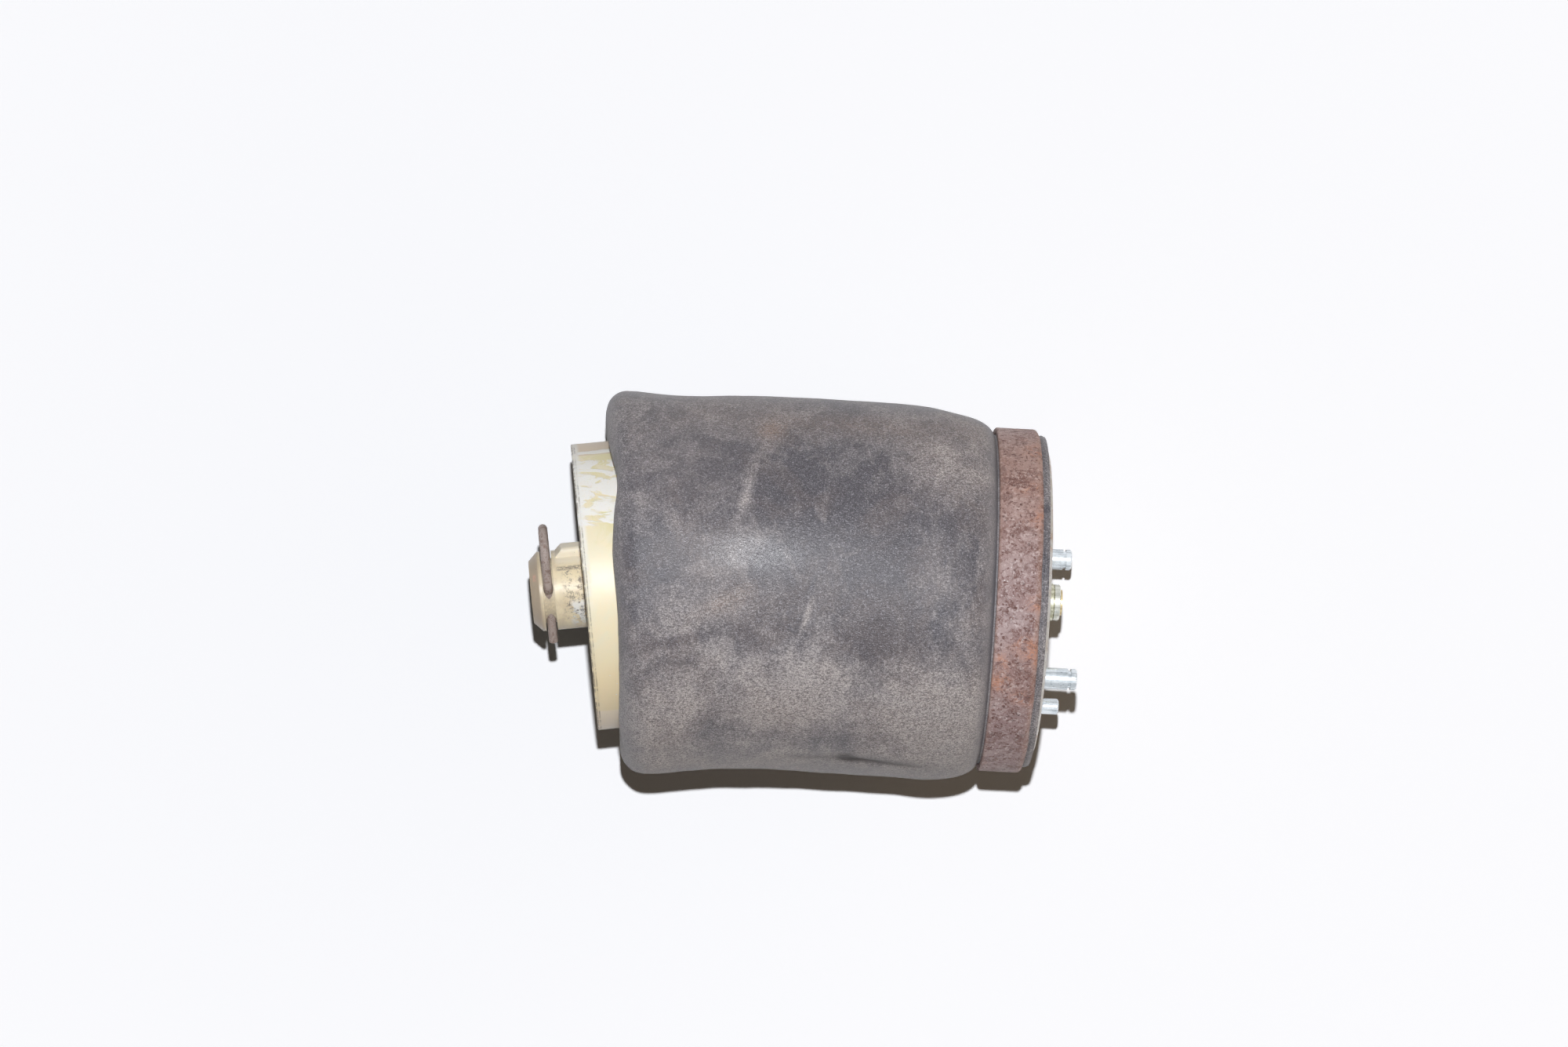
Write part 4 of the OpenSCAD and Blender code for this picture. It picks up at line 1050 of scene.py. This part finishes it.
def makeClip():
    c = clip
    half, radius = c["legGap"] / 2, c["wireRadius"]
    out = np.arange(-c["legPast"], c["bendOut"], c["step"])
    back = np.append(np.arange(c["bendOut"], -c["legPast"], -c["step"])[1:], -c["legPast"])
    t = np.radians(np.linspace(-90, 90, int(math.pi * half / c["step"])))
    path = np.concatenate([columns(out, -half), columns(c["bendOut"] + half * np.cos(t), half * np.sin(t)),
                           columns(back, half)])
    out, kinkEnd = path[:, 0], c["kinkAt"] + c["kinkLong"]
    spread = smoothStep((out - c["kinkAt"]) / c["kinkLong"])
    spread *= 1 - smoothStep((out - kinkEnd) / (c["bendOut"] - kinkEnd))
    path[:, 1] += np.sign(path[:, 1]) * c["kink"] * spread
    run = np.gradient(path, axis=0)
    run /= np.linalg.norm(run, axis=1)[:, None]
    start, end = [], []
    for size in c["ends"]:
        shift = radius * c["endLength"] * (1 - math.sqrt(1 - size * size) - 0.7)
        start.append((path[0] + run[0] * shift, run[0], size))
        end.insert(0, (path[-1] - run[-1] * shift, run[-1], size))
    rings = start + [(middle, along, 1.0) for middle, along in zip(path, run)] + end
    turn = np.linspace(0, 2 * np.pi, c["sides"], endpoint=False)
    points, centres = [], []
    for middle, along, size in rings:
        side = np.array([-along[1], along[0]])
        yz = middle + np.outer(radius * size * np.cos(turn), side)
        points.append(np.column_stack([radius * size * np.sin(turn), yz]))
        centres.append(np.tile((0, *middle), (c["sides"], 1)))
    points, centres = np.concatenate(points), np.concatenate(centres)
    worn = (0.6 * ripple(points, 2.2 * mm, 7) + 0.4 * ripple(points, 0.9 * mm, 8)) * c["wear"]
    spoke = points - centres
    spoke /= np.maximum(np.linalg.norm(spoke, axis=1), 1e-9)[:, None]
    points += spoke * np.minimum(worn, 0.0)[:, None]
    cosA, sinA = math.cos(c["angle"]), math.sin(c["angle"])
    y, z = points[:, 1] * cosA - points[:, 2] * sinA, points[:, 1] * sinA + points[:, 2] * cosA
    x = points[:, 0] - piston["skirtOut"] - c["grooveOut"]
    points = pistonToRow(np.stack([x, y, z], 1))
    piece = newPiece("clip_wire", points, tubeFaces(len(rings), c["sides"]), materials["rustyWire"])
    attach(piece, "retaining_clip")
    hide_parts("retaining_clip")
    print("clip made")


makeClip()


# Valve spring: a coil of round wire, carried with the upper mount

valveSpring = {
    "wireRadius": 0.25 * mm,
    "coilRadius": 2.1 * mm,
    "start": -12.65 * mm,
    "end": -9.6 * mm,
    "foot": -13.0 * mm,                 # the end that stays in place
    "travel": 1.2 * mm,
    "turns": 3,
    "steps": 40,                        # rings in each turn
    "sides": 12,
}


def makeValveSpring():
    s = valveSpring
    rings = s["steps"] * s["turns"] + 1
    turn = np.linspace(0, 2 * np.pi * s["turns"], rings)[:, None]
    side = np.linspace(0, 2 * np.pi, s["sides"], endpoint=False)[None, :]
    radius = s["coilRadius"] + s["wireRadius"] * np.cos(side)
    x = np.linspace(s["start"], s["end"], rings)[:, None] + s["wireRadius"] * np.sin(side)
    points = np.stack([x, radius * np.cos(turn), radius * np.sin(turn)], 2).reshape(-1, 3)
    piece = newPiece("valve_coil", points, tubeFaces(rings, s["sides"]), materials["valveMetal"])
    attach(piece, "upper_mount")
    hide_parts("valve_spring")
    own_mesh(piece)
    print("valve spring made")


makeValveSpring()


# Table and backdrop

def seenStraight(s):                    # by the camera itself, or in metal or glass
    rays = s.node("LightPath").outputs
    mirrored = s.times(s.most(rays["Is Glossy Ray"], rays["Is Transmission Ray"]),
                       s.maths("LESS_THAN", rays["Diffuse Depth"], 0.5))
    return s.most(rays["Is Camera Ray"], mirrored)


def makeTable():
    size = studio["tableSize"]
    low = cadBox[0].z - 0.05 * mm
    corners = [(-size, -size, low), (size, -size, low), (size, size, low), (-size, size, low)]
    mesh = bpy.data.meshes.new("table")
    mesh.from_pydata(corners, [], [(0, 1, 2, 3)])
    table = addObject("table", mesh)
    s = Finish("tableTop", {"Roughness": 0.9, "Specular IOR Level": 0.0})
    seen = seenStraight(s)
    lampX, lampY, lampZ = studio["keyPlace"]
    away = s.vectorMaths("DISTANCE", s.node("NewGeometry").outputs["Position"], (lampX, lampY, low))
    away = s.maths("DIVIDE", away, lampZ - low)
    far = s.rise(away, *studio["tableFar"])
    evened = s.maths("POWER", s.plus(s.times(away, away), 1.0), 2.0)
    evened = s.times(s.maths("MINIMUM", evened, studio["tableEvened"]), s.minus(1.0, far))
    bounces = s.node("LightPath").outputs["Diffuse Depth"]
    colour = s.mixColours(s.rise(bounces, 1.2, 1.8), studio["tableColour"], studio["tableDeep"])
    s.put("Base Color", s.mixColours(seen, colour, s.scaled(studio["tableSeen"], evened)))
    s.put("Emission Color", studio["backdrop"])
    s.put("Emission Strength", s.times(seen, far))
    mesh.materials.append(s.material)


def makeBackdrop():
    world = bpy.data.worlds.new("backdrop")
    world.use_nodes = True
    bpy.context.scene.world = world
    s = Sketch(world.node_tree)
    direction = s.node("SeparateXYZ", {0: s.node("TexCoord").outputs["Generated"]}).outputs
    low = s.rise(direction[2], studio["wallHeight"], studio["wallHeight"] * 0.6)
    walls = s.mixColours(s.rise(direction[0], 0.1, 1.0), studio["darkWalls"], studio["warmWalls"])
    colour = s.layers(studio["ceiling"], (low, walls), (seenStraight(s), studio["backdrop"]))
    s.fill(world.node_tree.nodes["Background"].inputs["Color"], colour)


makeTable()
makeBackdrop()
print("table and backdrop made")
